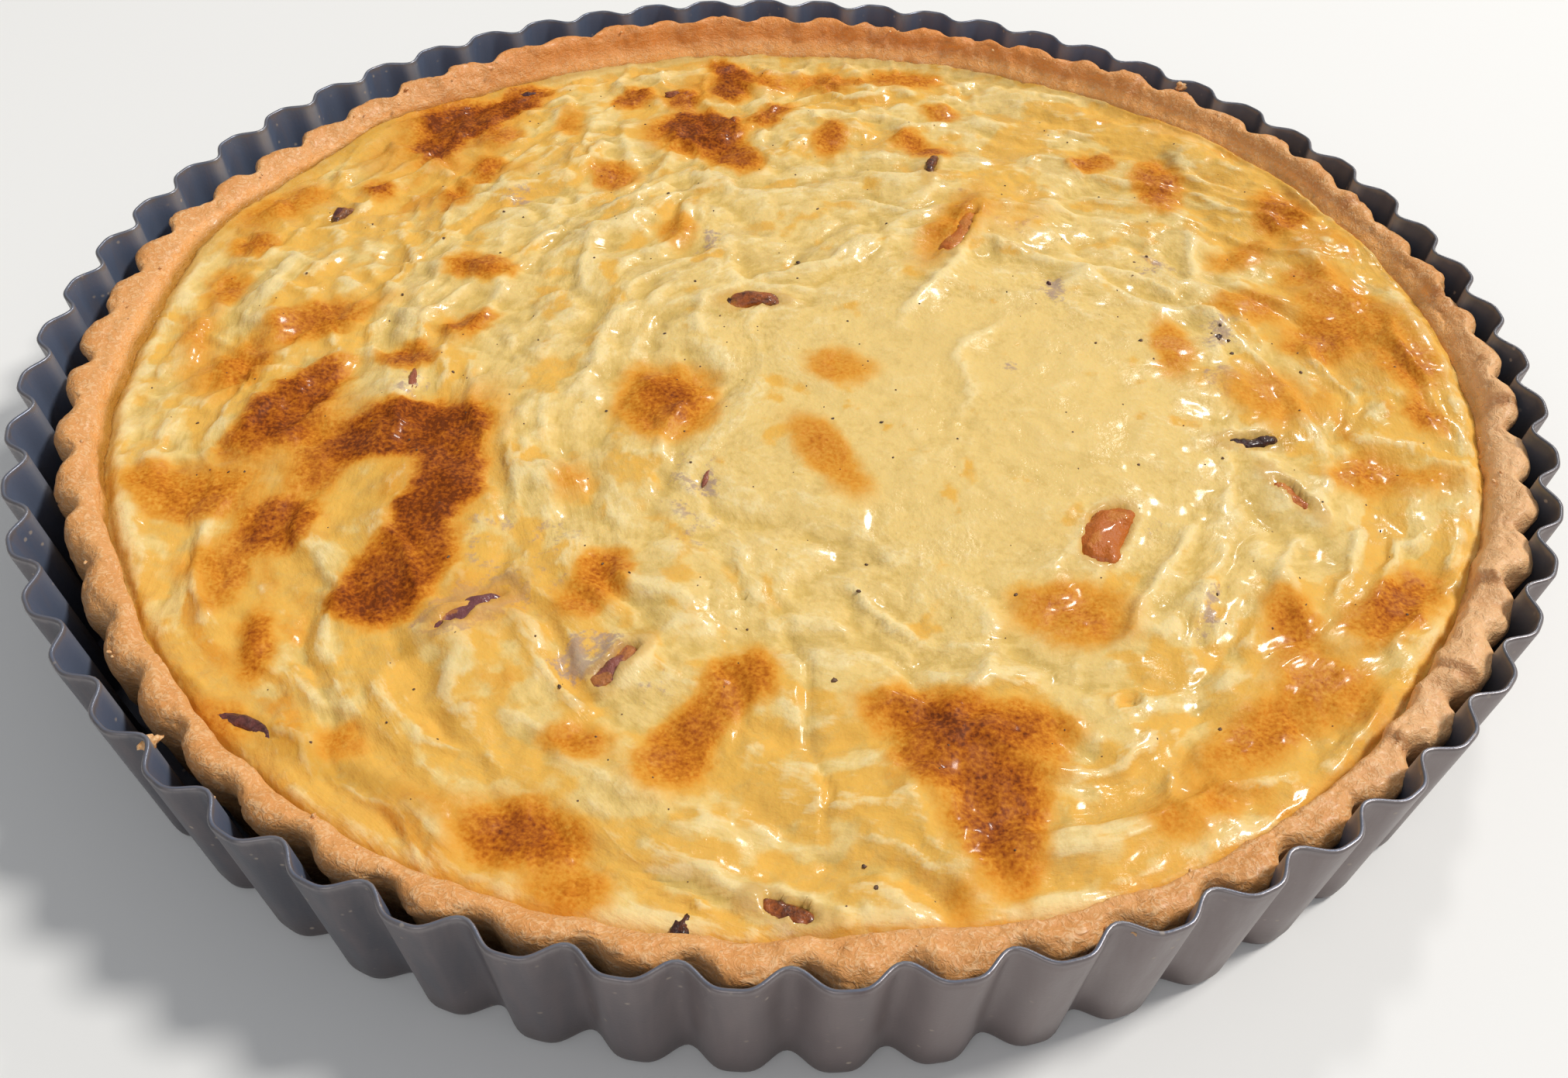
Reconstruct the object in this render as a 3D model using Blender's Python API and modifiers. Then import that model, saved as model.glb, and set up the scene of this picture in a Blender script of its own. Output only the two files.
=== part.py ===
"""A quiche in its own fluted tart tin, in metres, with +Z up and the origin under the tin's middle.

The tin stands on z = 0. The baked crust has shrunk away from the tin's wall and sits a little to one
side of its middle. The custard fills the crust up to a low dome, and the bacon is half sunk in it.
"""

import math

import bmesh
import bpy
from mathutils import Matrix, Vector

MM = 0.001
GAP = 0.3 * MM  # between neighbours that touch

# The tin: a thin pressed sheet, with its flutes running from the foot to the rim
FLUTES = 60
FIRST_FLUTE = math.radians(3.84)
TIN_HEIGHT = 30.3 * MM
TIN_RIM_RADIUS = 140.0 * MM
TIN_FOOT_RADIUS = 135.6 * MM
TIN_FOOT_ROUND = 2.0 * MM
TIN_FLUTE_DEPTH = 3.4 * MM
TIN_SHEET = 0.8 * MM
TIN_STEPS = 5  # points along each flute

# The crust: fluted outside by the tin, smooth inside, with a soft uneven rim
CRUST_SHIFT = Vector((1.6, -0.9, 0.0)) * MM
CRUST_BASE = TIN_SHEET + GAP
CRUST_FOOT_RADIUS = 127.8 * MM
CRUST_WALL_RADIUS = 132.9 * MM
CRUST_HEIGHT = 27.2 * MM
CRUST_RIM_WIDTH = 5.0 * MM
CRUST_FLOOR = 4.0 * MM
CRUST_FLUTE_DEPTH = 3.0 * MM
CRUST_STEPS = 4
RIM_WAVES = (  # count round the rim, turn and height in mm; the first two raise the back
    (1, 0.0, 0.9),
    (2, -1.57, 0.5),
    (2, 0.5, 0.6),
    (3, 2.1, 0.45),
    (5, 4.0, 0.35),
    (11, 1.2, 0.3),
)
RIM_CREASES = (7, -9, -21, -30, -40, 60, 71, 82, 104)  # folds across the rim, in degrees
CREASE_DEPTH = 1.0 * MM
CREASE_SPREAD = math.radians(1.4)

# The custard: a low dome with a few broad swells
CUSTARD_RADIUS = 128.0 * MM  # where its skin meets the crust
CUSTARD_EDGE = 21.4 * MM
CUSTARD_DOME = 1.6 * MM
CUSTARD_STEPS = 72
CUSTARD_RINGS = (0.97, 0.88, 0.76, 0.62, 0.47, 0.31, 0.15)
SWELLS = (  # x, y, spread and height of each swell, in mm
    (70, -15, 34, 1.0),
    (104, 5, 14, -0.9),
    (-55, 30, 26, -0.6),
    (-66, -38, 20, 0.7),
    (30, 68, 22, 0.8),
    (0, -70, 26, -0.6),
    (80, -72, 20, 0.7),
    (-70, 84, 18, 0.8),
)

# Bacon: x and y, turn in degrees, length, width and thickness in mm, share that stands proud
BACON = (
    (-7.8, 16.8, 5, 11.0, 5.2, 4.4, 0.36),
    (85.2, -23.4, 8, 10.0, 3.6, 3.6, 0.34),
    (54.6, -49.4, 62, 14.5, 8.4, 4.6, 0.34),
    (36.2, 43.8, 67, 18.0, 5.6, 4.6, 0.40),
    (30.8, 70.4, 80, 8.6, 4.4, 4.0, 0.38),
    (-26.6, -81.6, 58, 11.0, 4.6, 3.8, 0.32),
    (-79.8, -93.6, -25, 12.0, 4.4, 3.8, 0.34),
    (1.6, -123.0, -18, 9.5, 3.8, 3.4, 0.34),
    (-51.4, -70.2, 44, 14.0, 5.4, 4.0, 0.30),
    (89.4, -38.0, -60, 10.0, 3.8, 3.4, 0.30),
    (-97.6, 44.8, 62, 7.4, 4.6, 3.8, 0.36),
)
BACON_TAPER = 0.72
BACON_BEND = 0.12


def clear_scene():
    for thing in list(bpy.data.objects):
        bpy.data.objects.remove(thing, do_unlink=True)


def new_collection(name):
    collection = bpy.data.collections.new(name)
    bpy.context.scene.collection.children.link(collection)
    return collection


def new_material(name, color, roughness, metallic=0.0):
    material = bpy.data.materials.new(name)
    material.use_nodes = True
    shader = material.node_tree.nodes["Principled BSDF"]
    shader.inputs["Base Color"].default_value = (*color, 1.0)
    shader.inputs["Roughness"].default_value = roughness
    shader.inputs["Metallic"].default_value = metallic
    return material


def new_object(name, bm, collection, material=None, smooth_angle=None):
    mesh = bpy.data.meshes.new(name)
    bm.to_mesh(mesh)
    bm.free()
    thing = bpy.data.objects.new(name, mesh)
    collection.objects.link(thing)
    if material:
        mesh.materials.append(material)
    if smooth_angle:
        mesh.shade_smooth()
        mesh.set_sharp_from_angle(angle=smooth_angle)
    return thing


def flute(angle):
    """The flutes' wave: 1 along a broad outward crest and -1 in the narrow ridge between two crests."""
    turn = FLUTES * (angle - FIRST_FLUTE)
    return 1 - 2 * ((1 - math.cos(turn)) / 2) ** 1.5


def angles(count):
    """Equal steps round the Z axis, with a flute's crest on the first one."""
    return [FIRST_FLUTE + 2 * math.pi * i / count for i in range(count)]


def polar(angle, radius, height):
    return Vector((radius * math.cos(angle), radius * math.sin(angle), height))


def loft(rings, closed_top):
    """Joins rings of equally many points by quads, and closes the first ring, and the last, with a fan."""
    bm = bmesh.new()
    rows = [[bm.verts.new(point) for point in ring] for ring in rings]
    count = len(rows[0])
    for lower, upper in zip(rows, rows[1:]):
        for i in range(count):
            j = (i + 1) % count
            bm.faces.new((lower[i], lower[j], upper[j], upper[i]))
    caps = [bm.faces.new(rows[0][::-1])]
    if closed_top:
        caps.append(bm.faces.new(rows[-1]))
    bmesh.ops.poke(bm, faces=caps)
    return bm


def fluted_ring(steps, crest_radius, height, depth):
    ring = []
    for angle in angles(FLUTES * steps):
        ring.append(polar(angle, crest_radius - depth * (1 - flute(angle)) / 2, height))
    return ring


def make_tin(collection, material):
    rings = [
        fluted_ring(TIN_STEPS, TIN_FOOT_RADIUS - TIN_FOOT_ROUND, 0.0, TIN_FLUTE_DEPTH),
        fluted_ring(TIN_STEPS, TIN_FOOT_RADIUS, TIN_FOOT_ROUND, TIN_FLUTE_DEPTH),
        fluted_ring(TIN_STEPS, TIN_RIM_RADIUS, TIN_HEIGHT, TIN_FLUTE_DEPTH),
    ]
    tin = new_object("tin", loft(rings, closed_top=False), collection, material, math.radians(50))
    wall = tin.modifiers.new("sheet", "SOLIDIFY")
    wall.thickness = TIN_SHEET
    wall.offset = -1.0
    wall.use_even_offset = True
    return tin


def rim_rise(angle):
    """How far the crust's rim stands above its mean height: slow waves, less the folds across it."""
    rise = sum(height * MM * math.sin(count * angle + turn) for count, turn, height in RIM_WAVES)
    return rise - CREASE_DEPTH * crease(angle)


def crease(angle):
    """1 on the line of a fold across the rim, falling to 0 within about two degrees of it."""
    depth = 0.0
    for middle in RIM_CREASES:
        away = math.remainder(angle - math.radians(middle), 2 * math.pi)
        depth += math.exp(-((away / CREASE_SPREAD) ** 2))
    return depth


def crust_ring(radius, height, flute_share, rim_share):
    """A ring of the crust. The flutes fade with flute_share, the uneven rim and its folds with rim_share."""
    ring = []
    for angle in angles(FLUTES * CRUST_STEPS):
        wave = flute_share * CRUST_FLUTE_DEPTH / 2 * flute(angle)
        pinch = 0.6 * CREASE_DEPTH * crease(angle) * rim_share
        top = height + rim_share * rim_rise(angle)
        ring.append(polar(angle, radius + wave - pinch, top) + CRUST_SHIFT)
    return ring


def make_crust(collection, material):
    half_rim = CRUST_RIM_WIDTH / 2
    middle = CRUST_WALL_RADIUS - half_rim + 0.6 * MM
    shoulder = CRUST_HEIGHT - 1.1 * MM
    floor_radius = CUSTARD_RADIUS - 2.0 * MM
    rings = [
        crust_ring(CRUST_FOOT_RADIUS, CRUST_BASE, 0.9, 0.0),
        crust_ring(CRUST_WALL_RADIUS, shoulder - 1.6 * MM, 1.0, 0.6),
        crust_ring(middle + 0.7 * half_rim, shoulder + 0.3 * MM, 0.9, 1.0),
        crust_ring(middle, CRUST_HEIGHT, 0.5, 1.0),
        crust_ring(middle - 0.8 * half_rim, shoulder, 0.2, 0.9),
        crust_ring(CUSTARD_RADIUS, CUSTARD_EDGE, 0.0, 0.0),
        crust_ring(floor_radius, CRUST_BASE + CRUST_FLOOR, 0.0, 0.0),
    ]
    return new_object("crust", loft(rings, closed_top=True), collection, material, math.radians(60))


def custard_height(x, y):
    """Height of the custard's skin at a point in metres: a dome over the crust's middle, plus the swells."""
    share = math.hypot(x - CRUST_SHIFT.x, y - CRUST_SHIFT.y) / CUSTARD_RADIUS
    fade = max(0.0, 1 - share**6)
    relief = 0.0
    for swell_x, swell_y, spread, height in SWELLS:
        away = math.hypot(x - swell_x * MM, y - swell_y * MM) / (spread * MM)
        relief += height * MM * math.exp(-away * away)
    return CUSTARD_EDGE + CUSTARD_DOME * (1 - share * share) + fade * relief


def custard_ring(radius, height=None):
    ring = []
    for angle in angles(CUSTARD_STEPS):
        point = polar(angle, radius, height or 0.0) + CRUST_SHIFT
        if height is None:
            point.z = custard_height(point.x, point.y)
        ring.append(point)
    return ring


def make_custard(collection, material):
    side = CUSTARD_RADIUS - GAP
    rings = [custard_ring(side - 2.0 * MM, CRUST_BASE + CRUST_FLOOR + GAP), custard_ring(side)]
    rings += [custard_ring(share * side) for share in CUSTARD_RINGS]
    return new_object("custard", loft(rings, closed_top=True), collection, material, math.radians(60))


def bacon_piece(name, number, collection, material=None, grow=0.0):
    """A lardon: a box tapered to one end and bent sideways, with its edges rounded off."""
    x, y, turn, length, width, thickness, proud = BACON[number]
    size = Vector((length, width, thickness)) * MM + Vector((grow, grow, grow)) * 2
    bm = bmesh.new()
    bmesh.ops.create_cube(bm, size=1.0, matrix=Matrix.Diagonal((*size, 1.0)))
    lengthwise = [edge for edge in bm.edges if abs((edge.verts[0].co - edge.verts[1].co).x) > 0.9 * size.x]
    bmesh.ops.subdivide_edges(bm, edges=lengthwise, cuts=2)
    for vert in bm.verts:
        along = vert.co.x / size.x
        vert.co.y *= 1 - (1 - BACON_TAPER) * (along + 0.5)
        vert.co.y += BACON_BEND * size.x * (1 - 4 * along * along) * (-1) ** number
    level = custard_height(x * MM, y * MM) + (proud - 0.5) * thickness * MM
    piece = new_object(name, bm, collection, material, math.radians(60))
    piece.location = (x * MM, y * MM, level)
    piece.rotation_euler.z = math.radians(turn)
    edges = piece.modifiers.new("rounded", "BEVEL")
    edges.width = 0.22 * min(width, thickness) * MM
    edges.segments = 1
    return piece


def sink_bacon(custard, parts, cutters, material):
    """Lays the bacon in the custard, each piece in a hollow that is wider by GAP all round."""
    for number in range(len(BACON)):
        bacon_piece(f"bacon_{number + 1}", number, parts, material)
        cutter = bacon_piece(f"hollow_{number + 1}", number, cutters, grow=GAP)
        cutter.display_type = "WIRE"
        cutter.hide_render = True
        cut = custard.modifiers.new(cutter.name, "BOOLEAN")
        cut.operation = "DIFFERENCE"
        cut.solver = "EXACT"
        cut.object = cutter


def main():
    clear_scene()
    parts = new_collection("quiche")
    cutters = new_collection("hollows")
    tin_coating = new_material("tin coating", (0.045, 0.048, 0.055), 0.42, 0.3)
    pastry = new_material("baked pastry", (0.62, 0.34, 0.15), 0.7)
    egg_custard = new_material("egg custard", (0.80, 0.60, 0.25), 0.35)
    fried_bacon = new_material("fried bacon", (0.26, 0.06, 0.03), 0.35)
    make_tin(parts, tin_coating)
    make_crust(parts, pastry)
    custard = make_custard(parts, egg_custard)
    sink_bacon(custard, parts, cutters, fried_bacon)


main()
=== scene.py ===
"""The looks of a quiche in its fluted tart tin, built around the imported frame.

The file is laid out as an add-on and run as a script. The sizes and colours that a user would change
are in the property groups, each piece is made by its own operator, and main() calls them in order.
Shapes are worked out in millimetres, as arrays of points that are functions of two parameters, and
are turned into metres when they become meshes. The frame's own axes hold: +Z is up, and the middle of
the tin's foot is the origin.
"""

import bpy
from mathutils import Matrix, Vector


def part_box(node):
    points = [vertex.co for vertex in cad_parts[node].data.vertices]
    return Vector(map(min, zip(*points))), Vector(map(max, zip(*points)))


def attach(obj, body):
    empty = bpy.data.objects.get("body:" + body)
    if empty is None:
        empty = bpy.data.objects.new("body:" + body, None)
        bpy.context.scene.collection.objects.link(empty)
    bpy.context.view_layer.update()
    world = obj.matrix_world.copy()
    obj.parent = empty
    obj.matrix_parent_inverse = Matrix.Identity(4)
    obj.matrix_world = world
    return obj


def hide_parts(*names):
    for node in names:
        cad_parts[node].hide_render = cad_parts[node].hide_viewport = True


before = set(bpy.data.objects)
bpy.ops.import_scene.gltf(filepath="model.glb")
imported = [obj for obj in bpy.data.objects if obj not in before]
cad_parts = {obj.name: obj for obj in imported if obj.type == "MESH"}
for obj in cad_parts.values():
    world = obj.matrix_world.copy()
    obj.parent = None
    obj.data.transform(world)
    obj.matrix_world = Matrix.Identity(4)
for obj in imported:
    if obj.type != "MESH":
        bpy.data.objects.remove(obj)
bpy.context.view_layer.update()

import itertools
import math

import bpy
import mathutils
import numpy as np

bl_info = {
    "name": "Quiche in a tart tin",
    "version": (1, 0, 0),
    "blender": (4, 5, 0),
    "location": "View3D > Sidebar > Quiche",
    "description": "Makes a baked quiche with bacon in its fluted tin",
    "category": "Add Mesh",
}

MM = 0.001
BODY = "root"

# The tin and crust share one set of flutes
FLUTES = 60
FIRST_FLUTE = math.radians(3.84)
TIN_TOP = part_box("tin")[1].z / MM
CRUST_MIDDLE = np.array([1.6, -0.9])
CUSTARD_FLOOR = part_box("custard")[0].z / MM

# The custard's broad form, as the frame has it: x, y, spread and height of each swell, in mm
SWELLS = (
    (70, -15, 34, 1.0), (104, 5, 14, -0.9), (-55, 30, 26, -0.6), (-66, -38, 20, 0.7), (30, 68, 22, 0.8),
    (0, -70, 26, -0.6), (80, -72, 20, 0.7), (-70, 84, 18, 0.8),
)
CUSTARD_RADIUS = 128.0
CUSTARD_EDGE = 21.4
CUSTARD_DOME = 1.6
POOL = (35.0, -15.0)  # the smooth part of the skin, which the wrinkles run round
POOL_REACH = 34.0
CLEAR_OF_TOP = 0.07  # mm by which the tin's rounded rim stays under the frame's
OTHER_DRAW = 31.7  # mm between two draws of one noise
# Where the custard's edge leaves its circle: direction and spread in degrees, way out and way up in mm
SHORE = (
    (20, 42, -2.0, 3.8), (60, 14, -0.8, 0.3), (93, 34, -0.7, -0.5), (139, 6, 0.5, 1.6), (162, 9, 0.8, 1.3),
    (180, 7, -1.0, 0.0), (186, 30, -0.5, 0.9), (212, 13, -1.5, 0.0), (243, 6, 0.6, 0.0),
    (276, 6, -1.8, 0.0), (325, 13, -1.6, 0.0), (357, 14, 0.9, 0.2),
)

STEP, RIDGE = 1, 0
# Folds of the skin: kind, height and half width in mm, and x and y of each place it runs through.
# A step is higher on its left side. A height below 0 makes a ridge into a groove.
FOLDS = (
    (STEP, -1.2, 1.0, (57, 45,  61, 36,  65, 27,  73, 21,  84, 18,  89, 12,  93, 2,  97, -12,  99, -22,
        98, -33,  94, -43,  88, -52)),
    (RIDGE, 0.6, 2.1, (86, 50,  85, 40,  84, 30,  80, 24)),
    (RIDGE, 0.45, 1.3, (63, 62,  72, 59,  80, 57,  84, 53,  90, 50,  97, 44,  103, 39,  112, 35,
        120, 33)),
    (RIDGE, 0.9, 2.6, (41, 60,  41, 52,  37, 44,  35, 36,  33, 30,  29, 24,  24, 17,  20, 8)),
    (RIDGE, 0.5, 2.2, (43, 12,  36, 6,  32, 0,  34, -10,  31, -20)),
    (RIDGE, -0.6, 1.6, (28, 33,  33, 40)),
    (RIDGE, 0.9, 2.1, (72, -42,  67, -52,  60, -62,  57, -68,  53, -76)),
    (RIDGE, 0.8, 2.0, (79, -42,  73, -55,  69, -60,  67, -68,  63, -77)),
    (RIDGE, 0.8, 2.0, (89, -47,  82, -58,  80, -65)),
    (RIDGE, 0.9, 2.1, (100, -45,  97, -50,  94, -58,  88, -66)),
    (RIDGE, 0.7, 2.1, (110, -47,  106, -50)),
    (RIDGE, 0.7, 2.0, (113, -52,  111, -56)),
    (RIDGE, 0.8, 2.1, (106, -63,  100, -70,  97, -76)),
    (RIDGE, 0.7, 2.1, (94, -82,  86, -93,  80, -99)),
    (RIDGE, 0.5, 1.7, (76, -72,  72, -75)),
    (RIDGE, 0.7, 1.8, (58, -95,  57, -102,  59, -107)),
    (RIDGE, -0.6, 0.9, (-5, -66,  0, -72,  3, -78,  4, -85,  4, -93,  6, -99,  7, -106,  6, -112)),
    (RIDGE, 0.8, 2.2, (-20, -113,  -12, -116,  -5, -121,  2, -124,  6, -126)),
    (RIDGE, 0.6, 2.1, (-85, 45,  -83, 37,  -79, 30,  -77, 22)),
    (RIDGE, 0.7, 2.2, (-90, 13,  -80, 12,  -74, 8,  -68, 6,  -65, 3,  -61, 12,  -57, 28,  -50, 33,
        -45, 37)),
    (RIDGE, 0.6, 2.0, (-67, 5,  -68, -2,  -66, -8,  -65, -14)),
    (RIDGE, 0.8, 2.5, (-61, -5,  -60, -15,  -57, -25,  -53, -32)),
    (RIDGE, 0.6, 2.2, (-84, -17,  -89, -25,  -93, -30,  -100, -33)),
    (STEP, 0.9, 1.2, (-92, -70,  -86, -72,  -84, -80,  -79, -84,  -72, -88,  -65, -91,  -58, -96,
        -50, -103,  -42, -108)),
    (RIDGE, 0.5, 1.8, (-60, -87,  -52, -90,  -45, -90)),
    (RIDGE, 0.5, 1.8, (-45, -88,  -37, -93,  -30, -92)),
    (RIDGE, 0.6, 2.0, (-79, -95,  -72, -96,  -68, -102)),
    (RIDGE, 0.6, 2.0, (-38, -92,  -30, -100,  -22, -104,  -10, -108,  -5, -116)),
    (RIDGE, 0.5, 2.0, (-10, -105,  0, -112,  6, -115)),
    (RIDGE, 0.5, 2.0, (10, -110,  18, -113,  22, -118)),
    (RIDGE, 0.8, 2.2, (-42, 45,  -44, 32,  -43, 20)),
    (RIDGE, -0.6, 1.3, (-33, 33,  -31, 30)),
    (RIDGE, 0.8, 2.3, (-28, 20,  -36, 8,  -38, -4,  -41, -14,  -43, -22)),
    (RIDGE, 0.6, 2.1, (-18, 20,  -19, 10,  -18, 5)),
    (STEP, 0.6, 1.3, (-28, 3,  -20, 1,  -15, -6,  -10, -10)),
    (RIDGE, 0.6, 2.0, (-34, 62,  -30, 70,  -27, 75)),
    (RIDGE, 1.3, 1.9, (-43, 48,  -37, 52,  -31, 57,  -27, 60)),
    (RIDGE, 0.6, 2.1, (-22, 62,  -10, 57)),
    (STEP, 0.6, 1.2, (43, -86,  30, -87,  16, -84)),
)

# The width in mm of a browned patch's edge, and what is added to it as the patch grows faint
CRISP_EDGE, FAINT_EDGE = 3.6, 7.0
# Browned patches of the skin: x, y, half length, half width, turn in degrees, strength
BROWNING = (
    (-69, -26.5, 14, 8, 10, 1.0), (-62, -23, 5, 4.5, 0, 0.6), (-61.5, -40, 14, 8, 85, 0.97),
    (-64, -60, 13, 7, 60, 0.86), (-66, -67, 7, 6, 0, 0.85), (-82, -35, 8, 5, 70, 0.65),
    (-86, -50, 8, 6.5, 0, 0.84), (-91, -61, 8, 3.5, 80, 0.6), (-92, -18, 14, 5.5, 62, 0.9),
    (-92, -28, 8, 4, 25, 0.75), (-22.5, 87, 10, 8.5, -35, 0.97), (-14, 74, 8, 5.5, -55, 0.8),
    (-30, 80, 7, 5, 0, 0.25), (-79, 86, 9, 8, 0, 1.0), (-72, 94, 9, 5, 30, 1.0), (-82, 76, 8, 6, 80, 0.9),
    (-80, 68, 6, 5, 0, 0.35), (-66, 101, 7, 4.5, 40, 0.85), (8, 84, 6.5, 3.4, 85, 0.75),
    (-6, 94, 8, 4, 55, 0.8), (-41, 65, 5, 4.5, 0, 0.65), (-17, 117, 7, 3, -48, 1.0),
    (-16, 109, 7, 4.6, 85, 0.85), (-40, 102, 6, 4.5, 65, 0.85), (-28, 101, 5, 4, 0, 0.8),
    (-65, 27, 7, 5, 0, 0.7), (-94, 7, 8, 5, 30, 0.55), (-86, 14, 7, 3, 20, 0.35),
    (-114, 17, 6, 3.5, 90, 0.6), (-112, 31, 4, 3.5, 0, 0.65), (-116, 2, 6, 3.5, 90, 0.45),
    (-104, -6, 6, 4.5, 90, 0.55), (-110, 48, 10, 5, 40, 0.35), (82, 67, 8.5, 5, 90, 0.62),
    (82, 60, 4, 4, 0, 0.3), (68, 76, 5, 4.5, 0, 0.68), (107, 53, 7, 5.5, 90, 0.6), (96, 39, 9, 4, 25, 0.45),
    (107, 31, 6, 4.2, 0, 0.45), (114, 16, 12, 8, -60, 0.35), (121, -2, 6, 5, 90, 0.5),
    (104, 9, 7, 6, 0, 0.42), (93, 20, 7, 6, 0, 0.45), (75, 4, 9, 4, 90, 0.52), (104, -30, 7, 4, 30, 0.52),
    (113, -33, 8, 4, 0, 0.42), (119, -15, 5, 3.5, 90, 0.65), (101, -63.5, 10, 4.5, 42, 0.72),
    (82, -68, 6, 4.5, 90, 0.6), (84, -79, 6, 4, 0, 0.35), (88, -84, 6, 5, 0, 0.35),
    (75, -89, 9, 4, 38, 0.52), (65, -95, 8, 3, 35, 0.35), (47, -67, 9, 5.5, 0, 0.4),
    (29, -89, 15, 4.5, -5, 0.78), (17, -86, 4.5, 4, 0, 0.3), (26, -96, 9, 7, -20, 0.8),
    (31, -105, 8, 6.5, 60, 0.75), (33, -113, 7, 4.5, 80, 0.7), (-7, -83, 8, 5, 60, 0.68),
    (-14, -94, 7, 5, 60, 0.72), (-17, -101, 6, 4, 0, 0.35), (-36, -112, 7, 4.5, -15, 0.72),
    (-23, -14, 5, 5.5, 0, 0.6), (-30, -60, 5.5, 4.5, 90, 0.65), (-33, -67, 4, 4, 0, 0.55),
    (9, -4, 7, 6, 0, 0.42), (7, -30, 12, 4.5, -60, 0.48), (-38, -38, 5, 3, 90, 0.4),
    (57, -107, 5, 4, 0, 0.45), (25, -121, 4, 3, 90, 0.4), (65, -103, 3, 3, 0, 0.5),
    (-27, -121, 5, 3, 0, 0.6), (-83, -92, 6, 3, -25, 0.55), (-30, -95, 5, 4, 0, 0.52),
    (-52, -106, 6, 3, 0, 0.3), (-65, -96, 4, 3, 0, 0.5), (-83, -77, 7, 3, 105, 0.75),
    (-25, 42, 5, 3.4, 90, 0.5), (26, 83, 5, 3.6, 0, 0.7), (32, 78, 4.5, 3.5, 0, 0.75),
    (34, 97, 4, 4, 0, 0.6), (26, 114, 10, 5.5, 0, 0.66), (8, 113, 8, 6, 0, 0.62),
    (-64, 7, 5, 3.5, 60, 0.78), (-74, -3, 5.5, 3.6, 0, 0.82), (-69, 79, 5, 3, 30, 0.62),
    (-54, 88, 6, 3, 90, 0.5), (-70, 66, 6, 3.4, 90, 0.78), (-63, 65, 5, 4, 0, 0.25),
    (-92, 56, 3.5, 3.5, 0, 0.85), (-75, 55, 5, 3.2, 90, 0.7), (-99, -43, 6, 4.5, 0, 0.5),
    (-110, -40, 5, 3.4, 0, 0.4), (-105, -46, 6, 4, 0, 0.5), (-97, -60, 5, 4, 60, 0.38),
    (37, -95, 6, 5, -60, 0.55), (-9, 112, 8, 4, -10, 0.6),
)
# Patches that fade all the way from their middles, in the same form
GLOWING = (
    (-23, -15, 9.5, 10.5, 0, 0.62), (-60, -30, 20, 9, 80, 0.35), (-24, 84, 12, 9, -30, 0.55),
    (-79, 88, 14, 11, 20, 0.55), (28, -98, 16, 12, -10, 0.1), (-36, -112, 10, 7, -15, 0.45),
    (114, 12, 18, 12, -60, 0.25), (105, -63, 13, 6, 42, 0.1), (80, -84, 18, 8, 40, 0.12),
    (47, -67, 12, 8, 0, 0.2), (-95, 8, 9, 6, 30, 0.3), (82, 65, 9, 6, 90, 0.25), (107, 53, 10, 7, -50, 0.2),
    (-112, 42, 14, 6, 60, 0.3), (8, 83, 9, 6, 85, 0.2), (-88, -26, 12, 8, 40, 0.4),
    (-103, -40, 12, 6, 0, 0.3), (-20, 108, 12, 8, 0, 0.35), (92, -8, 12, 10, 0, 0.22),
    (84, -69, 18, 12, 40, 0.1), (50, -48, 12, 8, 0, 0.1), (48, 50, 12, 8, 45, 0.2),
    (-50, -68, 12, 9, 0, 0.22), (-108, -10, 8, 8, 0, 0.35), (33, 45, 12, 3.5, 65, 0.55),
    (38, 52, 7, 4, 60, 0.15), (-91, 71, 10, 8, 60, 0.3), (91, -11, 8, 6, 90, 0.3),
    (90, 90, 14, 8, -45, 0.25),
)
# Places inside those patches that stayed pale
PALE_ISLANDS = (
    (-71.5, -41, 7.5, 4.2, 50, 1.0), (-75, -52, 9, 4.6, 75, 1.0),
)
# Golden zones, in the same form
GOLDEN = (
    (112, 8, 62, 22, 90, 0.75), (88, -78, 44, 26, 42, 0.6), (-76, -88, 40, 16, -38, 0.75),
    (28, 108, 44, 12, 0, 0.4), (-78, 72, 40, 26, 40, 0.4), (-40, -104, 30, 18, -10, 0.5),
    (-96, -48, 34, 16, 80, 0.5), (-104, 30, 36, 12, 90, 0.5), (80, 74, 34, 24, -40, 0.25),
    (24, -100, 34, 20, 0, 0.4), (90, -8, 16, 12, 0, 0.85), (50, -50, 12, 10, 0, 0.5),
    (-50, -65, 12, 14, 0, 0.6), (-90, 70, 12, 16, 0, 0.8), (46, 48, 16, 10, 45, 0.35),
    (10, -20, 22, 14, -50, 0.3),
)
# Greyish places where bacon lies just under the skin
GREYING = (
    (-31, -79, 7, 4.5, 30, 0.95), (-103, -43, 8, 5, 0, 0.6), (-20, -84, 5, 3, 60, 0.5),
    (-18, -38, 10, 4, 80, 0.4), (-16, -52, 9, 5, 70, 0.35), (-51, -69, 9, 5, 40, 1.0),
    (-45, -64, 5, 3, 60, 0.6), (54, 23, 5, 3, 90, 1.0), (42, -4, 3, 2, 0, 0.8), (84, -6, 6, 3.4, 90, 0.85),
    (34, 56, 7, 3, 60, 0.5), (-18, 38, 5, 3, 90, 0.7), (-59.5, 54.5, 6, 3.6, 30, 0.55),
    (-14.5, -36, 4, 1.6, 80, 0.7), (76, 36, 6, 4.2, 20, 0.65), (61, -45, 5, 4, 0, 0.5),
    (86, 10, 6, 3.5, 60, 0.85), (69, -66, 7, 1.6, 65, 0.9), (-90, 70, 8, 6, 0, 0.15),
    (-84, 82, 12, 6, 60, 0.4), (-71, -12, 5, 3, 100, 0.6), (-42, -58, 16, 13, 0, 0.36),
    (48, 50, 8, 6, 60, 0.4), (-8, 116, 10, 3, 0, 0.5),
)

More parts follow.
